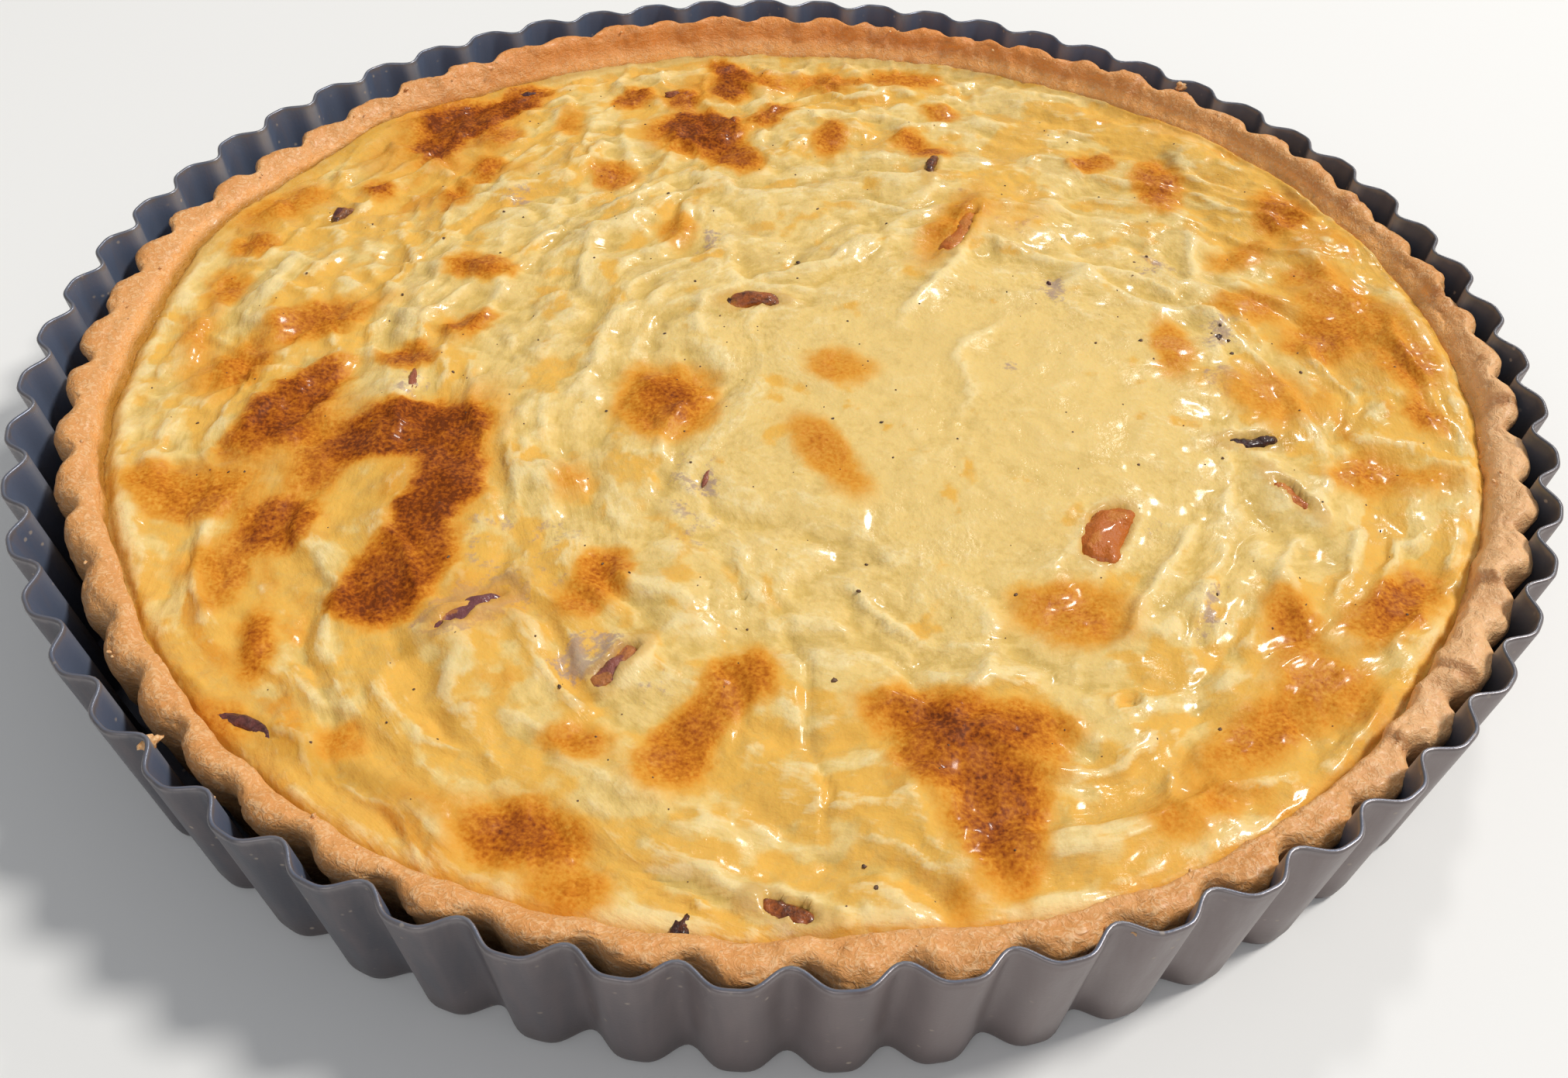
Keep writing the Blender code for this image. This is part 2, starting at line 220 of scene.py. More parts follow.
# Bacon: x, y, turn in degrees, length, width and thickness in mm, share that stands proud, how dark it is
# fried, how purple its lean is, and the share of its width that the skin leaves bare
BACON = (
    (-7.8, 16.8, 5, 11.0, 5.2, 4.4, 0.36, 0.6, 0.2, 0.75),
    (85.2, -23.4, 8, 10.0, 3.6, 3.6, 0.34, 0.9, 0.8, 0.8),
    (55.1, -48.4, 62, 14.6, 8.6, 4.6, 0.36, 0.1, 0.0, 0.74),
    (36.2, 43.8, 67, 18.0, 5.6, 4.6, 0.40, 0.05, 0.0, 0.5),
    (30.8, 70.4, 80, 8.6, 2.8, 4.0, 0.36, 0.8, 0.4, 0.5),
    (-25.8, -80.2, 58, 11.0, 4.6, 3.8, 0.36, 0.4, 0.7, 0.62),
    (-79.8, -93.6, -25, 13.2, 3.0, 3.8, 0.34, 0.7, 0.8, 0.1),
    (1.6, -123.0, -18, 9.5, 3.8, 3.4, 0.34, 0.7, 0.15, 0.75),
    (-51.4, -70.2, 44, 14.0, 5.4, 4.0, 0.32, 0.45, 0.9, 0.36),
    (89.4, -38.0, -60, 10.0, 3.8, 3.4, 0.44, 0.2, 0.2, 0.5),
    (-97.6, 44.8, 62, 6.4, 3.6, 3.8, 0.36, 0.7, 0.8, 0.6),
)
BACON_SINK = 0.45  # mm by which all the pieces sank
# Flecks of bacon that just show: x, y, turn, length, width, darkness, purple
FLECKS = (
    (-13, -126, 70, 4.6, 2.6, 0.9, 0.3), (-71, -12, 100, 5.4, 2.0, 0.1, 0.5),
    (-66, 103, 20, 4.0, 2.0, 0.7, 1.0), (-30, 103, 10, 5.0, 2.0, 0.5, 0.4),
    (-14.5, -36, 80, 4.4, 1.1, 0.2, 0.6), (-12.6, 16.4, 100, 2.6, 1.3, 0.9, 0.2),
    (53, 26, 100, 1.6, 1.2, 0.7, 1.0), (85, 9, 60, 4.0, 1.6, 0.9, 0.6),
)
# The larger pepper specks: x and y
PEPPER = (
    (72.5, 36), (75.5, 38), (84, 10), (86, 12), (87, 8), (85, 8), (87, 4), (60, 5), (69, 6), (100, 0),
    (78.5, -29), (63, -31), (-28, 55), (5, 52.5), (20, 47), (-20, 22), (-25, 5.5), (-34, -18.5),
    (17, -20.5), (8, -20), (1, 32), (13.5, -56.5), (8, -82.5), (12, -63.5), (38, -63), (67, -89), (71, -63),
    (-30.5, -58), (-74, 36), (-61.5, 32), (-78.5, 15.5), (-80, 8.5), (-64, -9), (-108, -24), (-56, -58),
    (-34, -86), (-63, 47), (12, -115), (13.5, -119.5),
)
# Pits and burst bubbles in the skin: x, y, half length, half width, turn, depth in mm
PITS = (
    (53.5, -85, 2.2, 1.4, 15, 1.2), (-9.5, -67.5, 1.3, 1.1, 0, 0.6), (-7, -65, 1.0, 0.9, 0, 0.5),
    (-46.5, -65.5, 1.5, 1.1, 30, 0.7), (-12, -63, 0.9, 0.8, 0, 0.4),
)

# The crumbs on the tin's rim: x and y, which give their direction, and three half sizes in mm
TIN_CRUMBS = (
    (-90.3, -103.5, 1.6, 1.1, 0.8), (101, 111, 1.8, 1.2, 1.0), (47, -131, 0.6, 0.4, 0.3),
    (-80, -115, 0.5, 0.4, 0.3),
)
# The height in mm over which the rim's bumps are pressed down, and how softly
RIM_LIMIT = 29.5
RIM_SOFTNESS = 0.8
# Where the crust's outer edge stands farther out: direction and spread in degrees, and mm
RIM_SPREAD = (
    (170, 24, 2.6), (110, 40, 0.8), (48, 20, 1.5), (12, 18, 1.5), (-16, 16, 1.3), (255, 24, 1.0),
    (214, 15, -1.9),
)
# Folds across the crust's rim, in degrees
RIM_CREASES = (7, -9, -21, -30, -40, 60, 71, 82, 104)
# Places where the dough overlaps itself: direction, height in mm, and degrees over which it sinks back
PLEATS = (
    (8.5, 1.9, 5), (-6.5, 1.6, 5), (-28, 1.9, 6), (-38, 1.4, 4), (-46, 1.1, 5), (24, 1.1, 5), (52, 0.8, 4),
    (83, 0.7, 3),
)
RIM_WAVES = (  # count round the rim, turn and height in mm; the first two raise the back
    (1, 0.0, 0.9), (2, -1.57, 0.5), (2, 0.5, 0.6), (3, 2.1, 0.45), (5, 4.0, 0.35), (11, 1.2, 0.3),
)

# Lights: name, place and size in m, share of the key's power, tint
LIGHTS = (
    ("key", (1.93, 0.41, 2.52), 0.62, 1.0, (1.0, 0.97, 0.92)),
    ("fill", (-0.3, -1.1, 0.9), 0.9, 0.050, (0.93, 0.96, 1.0)),
    ("glint", (1.08, 1.98, 1.95), 0.30, 0.24, (1.0, 0.98, 0.95)),
)
# The camera: place in m, turns in degrees, and shift of the lens in picture widths
CAMERA_PLACE = (0.0, -0.2373, 0.2046)
CAMERA_TURN = (47.821, -1.612, 0.412)
CAMERA_SHIFT = (-0.0158, -0.0382)


# ---- Shapes ----------------------------------------------------------------


class Noise:
    """Smooth noise in space, from about -1 to 1.

    A lattice holds a random slope at each corner. A point's value is the sum over the 8 corners of its
    cell of the corner's slope times the way from that corner, each weighted by a quintic ease.
    """

    SIZE = 48  # cells along each side, after which the lattice repeats
    GAIN = 1.6  # brings the sum to about 1
    SCATTER = 0.45

    def __init__(self, seed):
        slopes = np.random.default_rng(seed).normal(size=(self.SIZE, self.SIZE, self.SIZE, 3))
        self.slopes = slopes / np.linalg.norm(slopes, axis=-1, keepdims=True)

    def __call__(self, points, scale):
        cell = points / scale
        low = np.floor(cell).astype(int)
        part = cell - low
        eased = part**3 * (part * (part * 6 - 15) + 10)
        total = 0.0
        for corner in itertools.product((0, 1), repeat=3):
            i, j, k = np.moveaxis((low + corner) % self.SIZE, -1, 0)
            weight = np.prod(np.where(corner, eased, 1 - eased), axis=-1)
            total = total + weight * np.sum(self.slopes[i, j, k] * (part - corner), axis=-1)
        return self.GAIN * total

    def gap(self, points, scale):
        """How much farther off the next spot of a scatter is than the nearest one, in cells of so many mm.
        It is 0 half way between spots. Each cell holds one spot, off its middle by part of its slope."""
        cell = points / scale
        low = np.floor(cell).astype(int)
        nearest = second = np.full(cell.shape[:-1], np.inf)
        for step in itertools.product((-1, 0, 1), repeat=3):
            i, j, k = np.moveaxis((low + step) % self.SIZE, -1, 0)
            spot = low + step + 0.5 + self.SCATTER * self.slopes[i, j, k]
            away = np.linalg.norm(spot - cell, axis=-1)
            second = np.minimum(second, np.maximum(nearest, away))
            nearest = np.minimum(nearest, away)
        return second - nearest


NOISE = Noise(seed=11)


def layers(points, scale, count=3, place=0.0):
    """Noise on top of noise: each layer is half as wide and half as strong as the one before it."""
    total = 0.0
    for n in range(count):
        total = total + 0.5**n * NOISE(points + place + 17.3 * n, scale / 2**n)
    return total


def ease(share):
    """0 up to 0, 1 from 1 on, and the curve 3s^2 - 2s^3 between them."""
    share = np.clip(share, 0.0, 1.0)
    return share * share * (3 - 2 * share)


def bell(share):
    """1 at 0, falling off to both sides as exp(-share^2)."""
    return np.exp(-(share**2))


def ground(x, y, height=0.0):
    """Points from arrays of x and y and a height."""
    return np.stack([x, y, np.zeros_like(x) + height], axis=-1)


def circled(radius, angle, height=0.0):
    """Points from distances from the axis, angles round it and a height."""
    return ground(radius * np.cos(angle), radius * np.sin(angle), height)


def turned(x, y, degrees):
    """The ways along and across a direction."""
    c, s = math.cos(math.radians(degrees)), math.sin(math.radians(degrees))
    return x * c + y * s, y * c - x * s


def spun(points, angle):
    """The points turned about Z by an angle, or by one angle for each of them."""
    c, s = np.cos(angle), np.sin(angle)
    x, y, z = np.moveaxis(points, -1, 0)
    return np.stack([c * x - s * y, s * x + c * y, z], axis=-1)


def curve(knots, spans):
    """A Catmull-Rom curve through the rows of knots, of which the first and last only steer its ends. Each
    span between two knots gets so many steps, and every column of numbers follows the same curve."""
    parts = []
    for steps, a, b, c, d in zip(spans, knots, knots[1:], knots[2:], knots[3:]):
        t = np.linspace(0, 1, steps, endpoint=False)[:, None]
        bend = (2 * a - 5 * b + 4 * c - d) * t**2 + (3 * b - a - 3 * c + d) * t**3
        parts.append(b + 0.5 * ((c - a) * t + bend))
    return np.vstack([*parts, knots[-2:-1]])


def smooth_line(places):
    """A curve through a flat run of x and y, with 6 points for each stretch and straight ends."""
    knots = np.reshape(np.asarray(places, float), (-1, 2))
    ends = np.vstack([2 * knots[0] - knots[1], knots, 2 * knots[-1] - knots[-2]])
    return curve(ends, itertools.repeat(6))


def profile(knots, spans):
    """A curve through the knots that comes to rest at both ends."""
    knots = np.asarray(knots, float)
    return curve(np.vstack([knots[:1], knots, knots[-1:]]), spans)


def off_line(x, y, line):
    """For each place: how far it is from the line, on which side (1 left, -1 right), and how far along."""
    away, side, along = np.full(x.shape, np.inf), np.zeros(x.shape), np.zeros(x.shape)
    count = len(line) - 1
    for n in range(count):
        start, run = line[n], line[n + 1] - line[n]
        dx, dy = x - start[0], y - start[1]
        share = np.clip((dx * run[0] + dy * run[1]) / (run @ run), 0, 1)
        gap = np.hypot(dx - share * run[0], dy - share * run[1])
        nearer = gap < away
        away = np.where(nearer, gap, away)
        side = np.where(nearer, np.sign(run[0] * dy - run[1] * dx), side)
        along = np.where(nearer, (n + share) / count, along)
    return away, side, along


def oval(x, y, middle_x, middle_y, long, wide, turn):
    """How far out each place is in an oval, 0 in its middle and 1 on its edge."""
    along, across = turned(x - middle_x, y - middle_y, turn)
    return np.hypot(along / long, across / wide)


def patches(x, y, rows, grow=0.0, soft=None):
    """How much each place lies in ovals, 0 to 1: 1 - the product of (1 - strength * ease) over the ovals.
    The ease crosses an oval's edge, half way at its size, over soft mm, or more widely for a faint oval."""
    left = np.ones_like(x)
    for middle_x, middle_y, long, wide, turn, strength in rows:
        edge = soft or CRISP_EDGE + FAINT_EDGE * (1 - strength)
        out = oval(x, y, middle_x, middle_y, long + grow, wide + grow, turn)
        left = left * (1 - strength * ease(0.5 + (1 - out) * (min(long, wide) + grow) / edge))
    return 1 - left


def warp(x, y, reach, scale, place=0.0):
    """The places moved about by noise, so that what is drawn on them comes out ragged."""
    at = ground(x, y, place)
    return x + reach * NOISE(at, scale), y + reach * NOISE(at + OTHER_DRAW, scale)


def crust_polar(x, y):
    """Distance and direction in degrees from the crust's middle."""
    dx, dy = x - CRUST_MIDDLE[0], y - CRUST_MIDDLE[1]
    return np.hypot(dx, dy), np.degrees(np.arctan2(dy, dx))


def way_round(direction, middle):
    """The turn from a middle to each direction, from -180 to 180 degrees."""
    return (direction - middle + 180) % 360 - 180


def round_sum(direction, rows):
    """The sum of amount * bell(way / spread) over rows of middle, spread and amount, round the rim."""
    total = np.zeros_like(direction)
    for middle, spread, amount in rows:
        total += amount * bell(way_round(direction, middle) / spread)
    return total


def shore_shift(direction):
    """How far the custard's edge lies out from its circle, and how far up, in each direction in degrees."""
    uneven = 0.45 * NOISE(circled(30, np.radians(direction), 7.0), 2.6)
    out = round_sum(direction, [(middle, spread, shift) for middle, spread, shift, _ in SHORE])
    return out + uneven, round_sum(direction, [(middle, spread, rise) for middle, spread, _, rise in SHORE])


def custard_form(x, y):
    """The frame's own height of the custard: an edge, a dome that falls with the square of the radius,
    and swells of the form height * exp(-(distance / spread)^2) that fade out at the crust. The edge's own
    rise comes on top, falling off inland."""
    radius, direction = crust_polar(x, y)
    share = radius / CUSTARD_RADIUS
    relief = 0.0
    for swell_x, swell_y, spread, height in SWELLS:
        relief = relief + height * np.exp(-(((x - swell_x) ** 2 + (y - swell_y) ** 2) / spread**2))
    fade = np.clip(1 - share**6, 0, 1)
    rise = shore_shift(direction)[1] * bell((CUSTARD_RADIUS - radius) / 18.0)
    return CUSTARD_EDGE + CUSTARD_DOME * (1 - share**2) + fade * relief + rise


def fold_relief(x, y):
    """The drawn folds: a ridge falls off as exp(-1.6 * away / width) from a narrow crest, more gently on
    its left, and a step is half its height times tanh(signed way / width), which fades out some widths off.
    Each one tapers off at its ends."""
    total = np.zeros_like(x)
    bent_x, bent_y = warp(x, y, 1.0, 5.0)
    for kind, height, width, places in FOLDS:
        line = smooth_line(places)
        room = width * (7 if kind == STEP else 3.2)  # beyond this a fold no longer counts
        low, high = line.min(axis=0) - room, line.max(axis=0) + room
        near = (bent_x > low[0]) & (bent_x < high[0]) & (bent_y > low[1]) & (bent_y < high[1])
        away, side, along = off_line(bent_x[near], bent_y[near], line)
        taper = ease(along / 0.22) * ease((1 - along) / 0.22)
        if kind == STEP:
            shape = 0.5 * np.tanh(side * away / width) * bell(away / (3.4 * width))
        else:
            shape = np.exp(0.3 - np.hypot(1.6 * away / (width * (1 + 0.35 * side)), 0.3))
        ends = ease(along * 40) * ease((1 - along) * 40)
        total[near] += height * (0.25 + 0.75 * taper) * shape * ends
    return total


def off_pool(x, y):
    """How far each place is from the middle of the smooth pool."""
    return np.hypot(x - POOL[0], y - POOL[1])


def coiled(x, y, arc=26.0):
    """Places given as their distance from the pool and their direction from it, so that noise on them is
    drawn out along arcs round the pool."""
    bent_x, bent_y = warp(x, y, 5.0, 22.0, 4.0)
    dx, dy = bent_x - POOL[0], bent_y - POOL[1]
    off = np.hypot(dx, dy) + 1e-6
    return np.stack([off, arc * dx / off, arc * dy / off], axis=-1)


def crest(points, scale):
    """Sharp ridges along the lines where noise crosses 0, from about -1 to 1."""
    return 1 - 2.6 * np.abs(NOISE(points, scale))


def pillows(points, scale):
    """Rounded swells with sharp creases between them, from about -0.6 to 0.4."""
    return np.tanh(2.0 * NOISE.gap(points, scale)) - 0.5


def seams(points, scale, width):
    """1 along the lines between pillows, falling off within a width given in cells."""
    return bell(NOISE.gap(points, scale) / width)


def wrinkle_relief(x, y, height):
    """Wrinkles that run round the smooth pool: pillows of three sizes between creases, ridges along some of
    the lines between larger pillows, and waves, with a fine grain over all of them. Away from the light,
    at the upper left, the skin is crumpled as well."""
    bent = warp(*warp(x, y, 3.6, 15.0, 9.0), 1.2, 5.0, 2.0)
    around, wide, flat = coiled(*bent), coiled(*bent, 48.0), ground(*bent)
    off = off_pool(x, y)
    calm = ease((off - POOL_REACH - 12 * NOISE(flat + 2, 20.0)) / 26)
    shore = ease((CUSTARD_RADIUS - crust_polar(x, y)[0]) / 7.0)
    shape = 0.50 * layers(around, 13.0, 2, 3.0) + 0.85 * pillows(wide + 12, 16.0)
    shape = shape + 0.26 * pillows(wide + 40, 7.6) + 0.06 * pillows(flat + 25, 3.9)
    shape = shape + 0.08 * crest(around + 80, 4.2)
    rising = ease(0.5 + 2.2 * NOISE(flat + 66, 24.0))
    shape = shape + 0.62 * rising * seams(around + 90, 15.0, 0.12)
    crumples = 0.5 * pillows(flat + 50, 9.0) + 0.35 * seams(flat + 70, 12.0, 0.1)
    shape = shape + ease((y - x - 30) / 70) * crumples
    grain = layers(flat + 15, 2.7, 2)
    swell = (0.20 * layers(flat + 33, 18.0, 2) + 0.05 * crest(around + 21, 11.0)) * (1 - calm)
    shape = (0.12 + 0.88 * calm) * (0.3 + 0.7 * shore) * shape
    return height * (shape + swell + (0.06 + 0.07 * calm) * grain)


def bacon_outline(x, y, middle_x, middle_y, turn, length, width):
    """How far out each place is in a rounded box, 0 in the middle and 1 on the edge: a circle in which the
    squares are powers of 2.6."""
    along, across = turned(x - middle_x, y - middle_y, turn)
    corner = 2.6
    out = np.abs(along / (length / 2)) ** corner + np.abs(across / (width / 2)) ** corner
    return out ** (1 / corner)


def bacon_relief(x, y):
    """Round each bacon piece the skin stands up in a low lip, and over the open share of its width the
    piece is bare. Gives the lip's height, how open each place is, how far it sinks and how much of the
    bacon's fat seeps into it."""
    lip, opened, sunk, seep = (np.zeros_like(x) for _ in range(4))
    bent = warp(*warp(x, y, 0.9, 3.2, 8.0), 0.4, 1.3, 2.0)
    for middle_x, middle_y, turn, length, width, *_, bare in BACON:
        out = bacon_outline(*bent, middle_x, middle_y, turn, length * 0.94, width * bare + 0.25)
        beyond = (out - 1) * width * bare / 2
        lip += 0.45 * bell((beyond - 0.7) / 1.1)
        opened = np.maximum(opened, ease((0.2 - beyond) / 0.8))
        sunk = np.maximum(sunk, ease((0.2 - beyond) / 1.0) * (0.3 + 1.1 * bare))
        seep = np.maximum(seep, bell(np.clip(beyond, 0, None) / 1.5))
    return lip, opened, sunk, seep


def gold_masks(x, y, ragged, soft):
    """How golden and how orange the skin is: noise drawn out round the pool, over a share that grows away
    from the pool, in the golden zones and round the browned patches."""
    around, flat = coiled(x, y, 34.0), ground(x, y)
    off = off_pool(x, y)
    share = 0.06 + 0.36 * ease((off - POOL_REACH) / 60) + 0.45 * patches(*soft, GOLDEN, soft=26.0)
    blotch = 0.95 * layers(around + 60, 7.5, 3) + 0.45 * layers(flat + 70, 4.0, 2)
    golden = ease(0.5 + (blotch + 1.9 * (share - 0.5)) / 0.75)
    halo = patches(*ragged, BROWNING, grow=2.5, soft=7.0)
    deeper = ease(0.5 + (0.8 * layers(around + 95, 6.0, 3) + 1.6 * (share - 0.85)) / 0.9)
    return np.maximum(golden, 0.9 * halo), np.maximum(0.9 * deeper * golden, 0.75 * halo**1.5)


def custard_skin(x, y, settings):
    """The height of the custard's skin, and its masks, for arrays of places in mm."""
    radius, direction = crust_polar(x, y)
    shore = CUSTARD_RADIUS + shore_shift(direction)[0] - radius
    inland = ease(shore / 5.0)
    ragged = warp(*warp(*warp(x, y, 1.5, 9.0, 1.0), 1.0, 3.0, 6.0), 0.5, 1.2, 3.0)
    soft = warp(x, y, 8.0, 24.0, 12.0)
    brown = 1 - (1 - patches(*ragged, BROWNING)) * (1 - patches(*ragged, GLOWING, soft=12.0))
    brown *= 1 - patches(*ragged, PALE_ISLANDS, soft=4.0)
    golden, orange = gold_masks(x, y, ragged, soft)

    folds = fold_relief(x, y) * (0.3 + 0.7 * inland)
    wrinkles = wrinkle_relief(x, y, settings.wrinkle_height / MM)
    relief = 1.6 * folds + wrinkles * (1 - 0.45 * np.clip(np.abs(folds), 0, 1)) + 0.3 * brown * inland
    lip, opened, sunk, seep = bacon_relief(x, y)
    height = custard_form(x, y) + (relief + lip) * (1 - opened) - sunk
    for *place, depth in PITS:
        out = oval(x, y, *place)
        height += depth * (0.35 * bell((out - 1.25) / 0.3) - ease((1.1 - out) / 0.7))
    angle = np.radians(direction)
    back, left = ease((np.sin(angle) + 0.1) / 0.6), ease((-0.2 - np.cos(angle)) / 0.5)
    height += (1.4 * back - 0.9) * bell(np.clip(shore, 0, None) / 0.8)
    height += (0.5 - 0.8 * back) * bell((shore - 2.8) / 1.8)
    masks = {
        "ringed": ease((off_pool(x, y) - 18) / 24),
        "browning": brown,
        "golden": golden,
        "orange": orange,
        "greying": patches(*ragged, GREYING, soft=5.0),
        "seep": seep,
        "shore": bell(shore / (1.3 + 0.8 * left)) * (0.7 + 0.3 * left),
    }
    return height, masks


def around_rim(columns_per_flute):
    """The angle of each column of points, with the first one on a flute's crest."""
    columns = FLUTES * columns_per_flute
    return FIRST_FLUTE + np.arange(columns) * 2 * math.pi / columns


def flute(angle):
    """The flutes' wave: 1 along a broad outward crest and -1 in the narrow ridge between two crests."""
    return 1 - 2 * ((1 - np.cos(FLUTES * (angle - FIRST_FLUTE))) / 2) ** 1.9


def crust_flute(angle):
    """The flutes of the crust, which the baking dragged a little way round on the left and right."""
    return flute(angle - 0.037 * np.cos(angle))


def per_flute(angle, low, high, seed):
    """A random amount for each flute, blended from one flute to the next by an ease."""
    amounts = np.random.default_rng(seed).uniform(low, high, FLUTES)
    turn = (angle - FIRST_FLUTE) * FLUTES / (2 * math.pi)
    before = np.floor(turn).astype(int)
    blend = ease(turn - before)
    return amounts[before % FLUTES] * (1 - blend) + amounts[(before + 1) % FLUTES] * blend


def normals(points):
    """Unit normals of a grid whose columns close into a ring: the cross product of its two slopes."""
    across = np.roll(points, -1, axis=1) - np.roll(points, 1, axis=1)
    along = np.gradient(points, axis=0)
    out = np.cross(across, along)
    return out / (np.linalg.norm(out, axis=-1, keepdims=True) + 1e-12)


# ---- Meshes ----------------------------------------------------------------


def blurred(grid, reach):
    """Each value of a grid replaced by the mean of a square that goes so many steps to each side of it."""
    size = 2 * reach + 1
    for axis in (0, 1):
        margins = [(reach + 1, reach) if n == axis else (0, 0) for n in (0, 1)]
        padded = np.pad(grid, margins, mode="edge")
        total = np.cumsum(padded, axis=axis)
        count = grid.shape[axis]
        grid = (total.take(range(size, size + count), axis) - total.take(range(count), axis)) / size
    return grid


def new_piece(name, points, faces, material, masks):
    """A mesh object at the origin, from points in mm and faces, which rides on the frame's body."""
    mesh = bpy.data.meshes.new(name)
    mesh.from_pydata((np.asarray(points) * MM).tolist(), [], faces)
    mesh.validate()
    for mask, values in masks.items():
        kind, field = ("FLOAT_VECTOR", "vector") if np.ndim(values) == 2 else ("FLOAT", "value")
        layer = mesh.attributes.new(mask, kind, "POINT")
        layer.data.foreach_set(field, np.asarray(values, np.float32).ravel())
    mesh.shade_smooth()
    mesh.materials.append(material)
    piece = bpy.data.objects.new(name, mesh)
    bpy.context.scene.collection.objects.link(piece)
    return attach(piece, BODY)


def ring_faces(rows, columns, first=0):
    """Quads between rows of points that close into rings."""
    i = np.arange(rows - 1)[:, None] * columns
    j = np.arange(columns)[None, :]
    k = (j + 1) % columns
    quads = np.stack([i + j, i + k, i + columns + k, i + columns + j], axis=-1)
    return (quads + first).reshape(-1, 4).tolist()


def fan(ring, middle):
    """Triangles from a closed run of points to one point."""
    return [(middle, b, a) for a, b in zip(ring, ring[1:] + ring[:1])]


def closed_faces(rows, columns):
    """The faces of rings of points, with a fan on each end to the two points that follow them."""
    count = rows * columns
    faces = ring_faces(rows, columns) + fan(list(range(columns)), count)
    return faces + fan(list(range(count - columns, count))[::-1], count + 1)


def closed_rings(name, points, material, masks):
    """A closed skin from rings of points, rows by columns, with a point that closes each end."""
    rows, columns = points.shape[:2]
    ends = np.stack([points[0].mean(axis=0), points[-1].mean(axis=0)])
    flat = np.vstack([points.reshape(-1, 3), ends])
    values = {
        mask: np.concatenate([grid.ravel(), [grid[0].mean(), grid[-1].mean()]])
        for mask, grid in masks.items()
    }
    return new_piece(name, flat, closed_faces(rows, columns), material, values)


# ---- Materials -------------------------------------------------------------


class Value:
    """A shader socket that can stand in a sum: each operator adds the Math node that works it out."""

    def __init__(self, finish, socket):
        self.finish = finish
        self.socket = socket

    def math(self, operation, a, b, clamp=False):
        settings = {"operation": operation, "use_clamp": clamp}
        return self.finish.node("ShaderNodeMath", settings, {0: a, 1: b})

    def __add__(self, other):
        return self.math("ADD", self, other)

    def __sub__(self, other):
        return self.math("SUBTRACT", self, other)

    def __rsub__(self, other):
        return self.math("SUBTRACT", other, self)

    def __mul__(self, other):
        return self.math("MULTIPLY", self, other)

    __radd__ = __add__
    __rmul__ = __mul__

    def clamped(self):
        return self.math("ADD", self, 0.0, clamp=True)

    def from_to(self, low, high):
        """0 at low, 1 at high, eased between."""
        settings = {"interpolation_type": "SMOOTHSTEP"}
        inputs = {"Value": self, "From Min": low, "From Max": high}
        return self.finish.node("ShaderNodeMapRange", settings, inputs)


class Finish:
    """A new material, and the calls that add its nodes."""

    def __init__(self, name):
        self.material = bpy.data.materials.new(name)
        self.material.use_nodes = True
        self.tree = self.material.node_tree
        self.tree.nodes.clear()
        self.place = self.node("ShaderNodeTexCoord", output="Object")

    def node(self, kind, settings=None, inputs=None, output=0):
        """Adds a node: its settings first, then the values or links of its sockets. Gives one output."""
        node = self.tree.nodes.new(kind)
        for name, value in (settings or {}).items():
            setattr(node, name, value)
        for name, value in (inputs or {}).items():
            self.put(node.inputs[name], value)
        return Value(self, node.outputs[output]) if node.outputs else None

    def put(self, socket, value):
        if isinstance(value, Value):
            self.tree.links.new(value.socket, socket)
        elif socket.type == "RGBA":
            socket.default_value = (*tuple(value)[:3], 1.0)
        else:
            socket.default_value = value

    def mask(self, name, output="Fac"):
        return self.node("ShaderNodeAttribute", {"attribute_name": name}, output=output)

    def masks(self, names):
        return [self.mask(name) for name in names.split()]

    def noise(self, size, detail=2.0, roughness=0.5, where=None, twist=0.0, stretch=None):
        """Noise with features about so many mm across, 0 to 1. Stretch scales each axis of the place."""
        if stretch:
            where = self.node("ShaderNodeMapping", None, {"Vector": self.place, "Scale": stretch})
        inputs = {"Vector": where or self.place, "Scale": 1 / (size * MM)}
        inputs.update({"Detail": detail, "Roughness": roughness, "Distortion": twist})
        return self.node("ShaderNodeTexNoise", None, inputs)

    def cells(self, size):
        """How far each place is from the nearest point of a scatter about so many mm apart."""
        inputs = {"Vector": self.place, "Scale": 1 / (size * MM)}
        return self.node("ShaderNodeTexVoronoi", None, inputs, "Distance")

    def coats(self, color, *rows):
        """A colour with others laid over it in turn, each given as its share and its colour."""
        for share, tint in rows:
            color = self.node("ShaderNodeMix", {"data_type": "RGBA"}, {0: share, 6: color, 7: tint}, 2)
        return color

    def ramp(self, value, stops):
        """Colours that follow a value, given as (place, colour)."""
        color = self.node("ShaderNodeValToRGB", None, {"Fac": value})
        elements = color.socket.node.color_ramp.elements
        elements.remove(elements[1])
        for n, (place, tint) in enumerate(stops):
            stop = elements.new(place) if n else elements[0]
            stop.position = place
            stop.color = (*tint, 1.0)
        return color

    def bumps(self, *rows):
        """Bumps on top of one another, each given as its height, its depth in mm and its strength."""
        normal = {}
        for height, depth, strength in rows:
            inputs = {"Height": height, "Distance": depth * MM, "Strength": strength, **normal}
            normal = {"Normal": self.node("ShaderNodeBump", None, inputs)}
        return normal["Normal"]

    def done(self, color, roughness, normal=None, under=None, **more):
        """Joins a Principled shader to the output and gives the material. Under is the weight, the reach of
        red, green and blue, and the scale of the light that spreads under the surface."""
        inputs = {"Base Color": color, "Roughness": roughness}
        if normal:
            inputs["Normal"] = normal
        if under:
            inputs.update(zip(("Subsurface Weight", "Subsurface Radius", "Subsurface Scale"), under))
        inputs.update({name.replace("_", " "): value for name, value in more.items()})
        shader = self.node("ShaderNodeBsdfPrincipled", None, inputs, "BSDF")
        self.node("ShaderNodeOutputMaterial", None, {"Surface": shader})
        return self.material


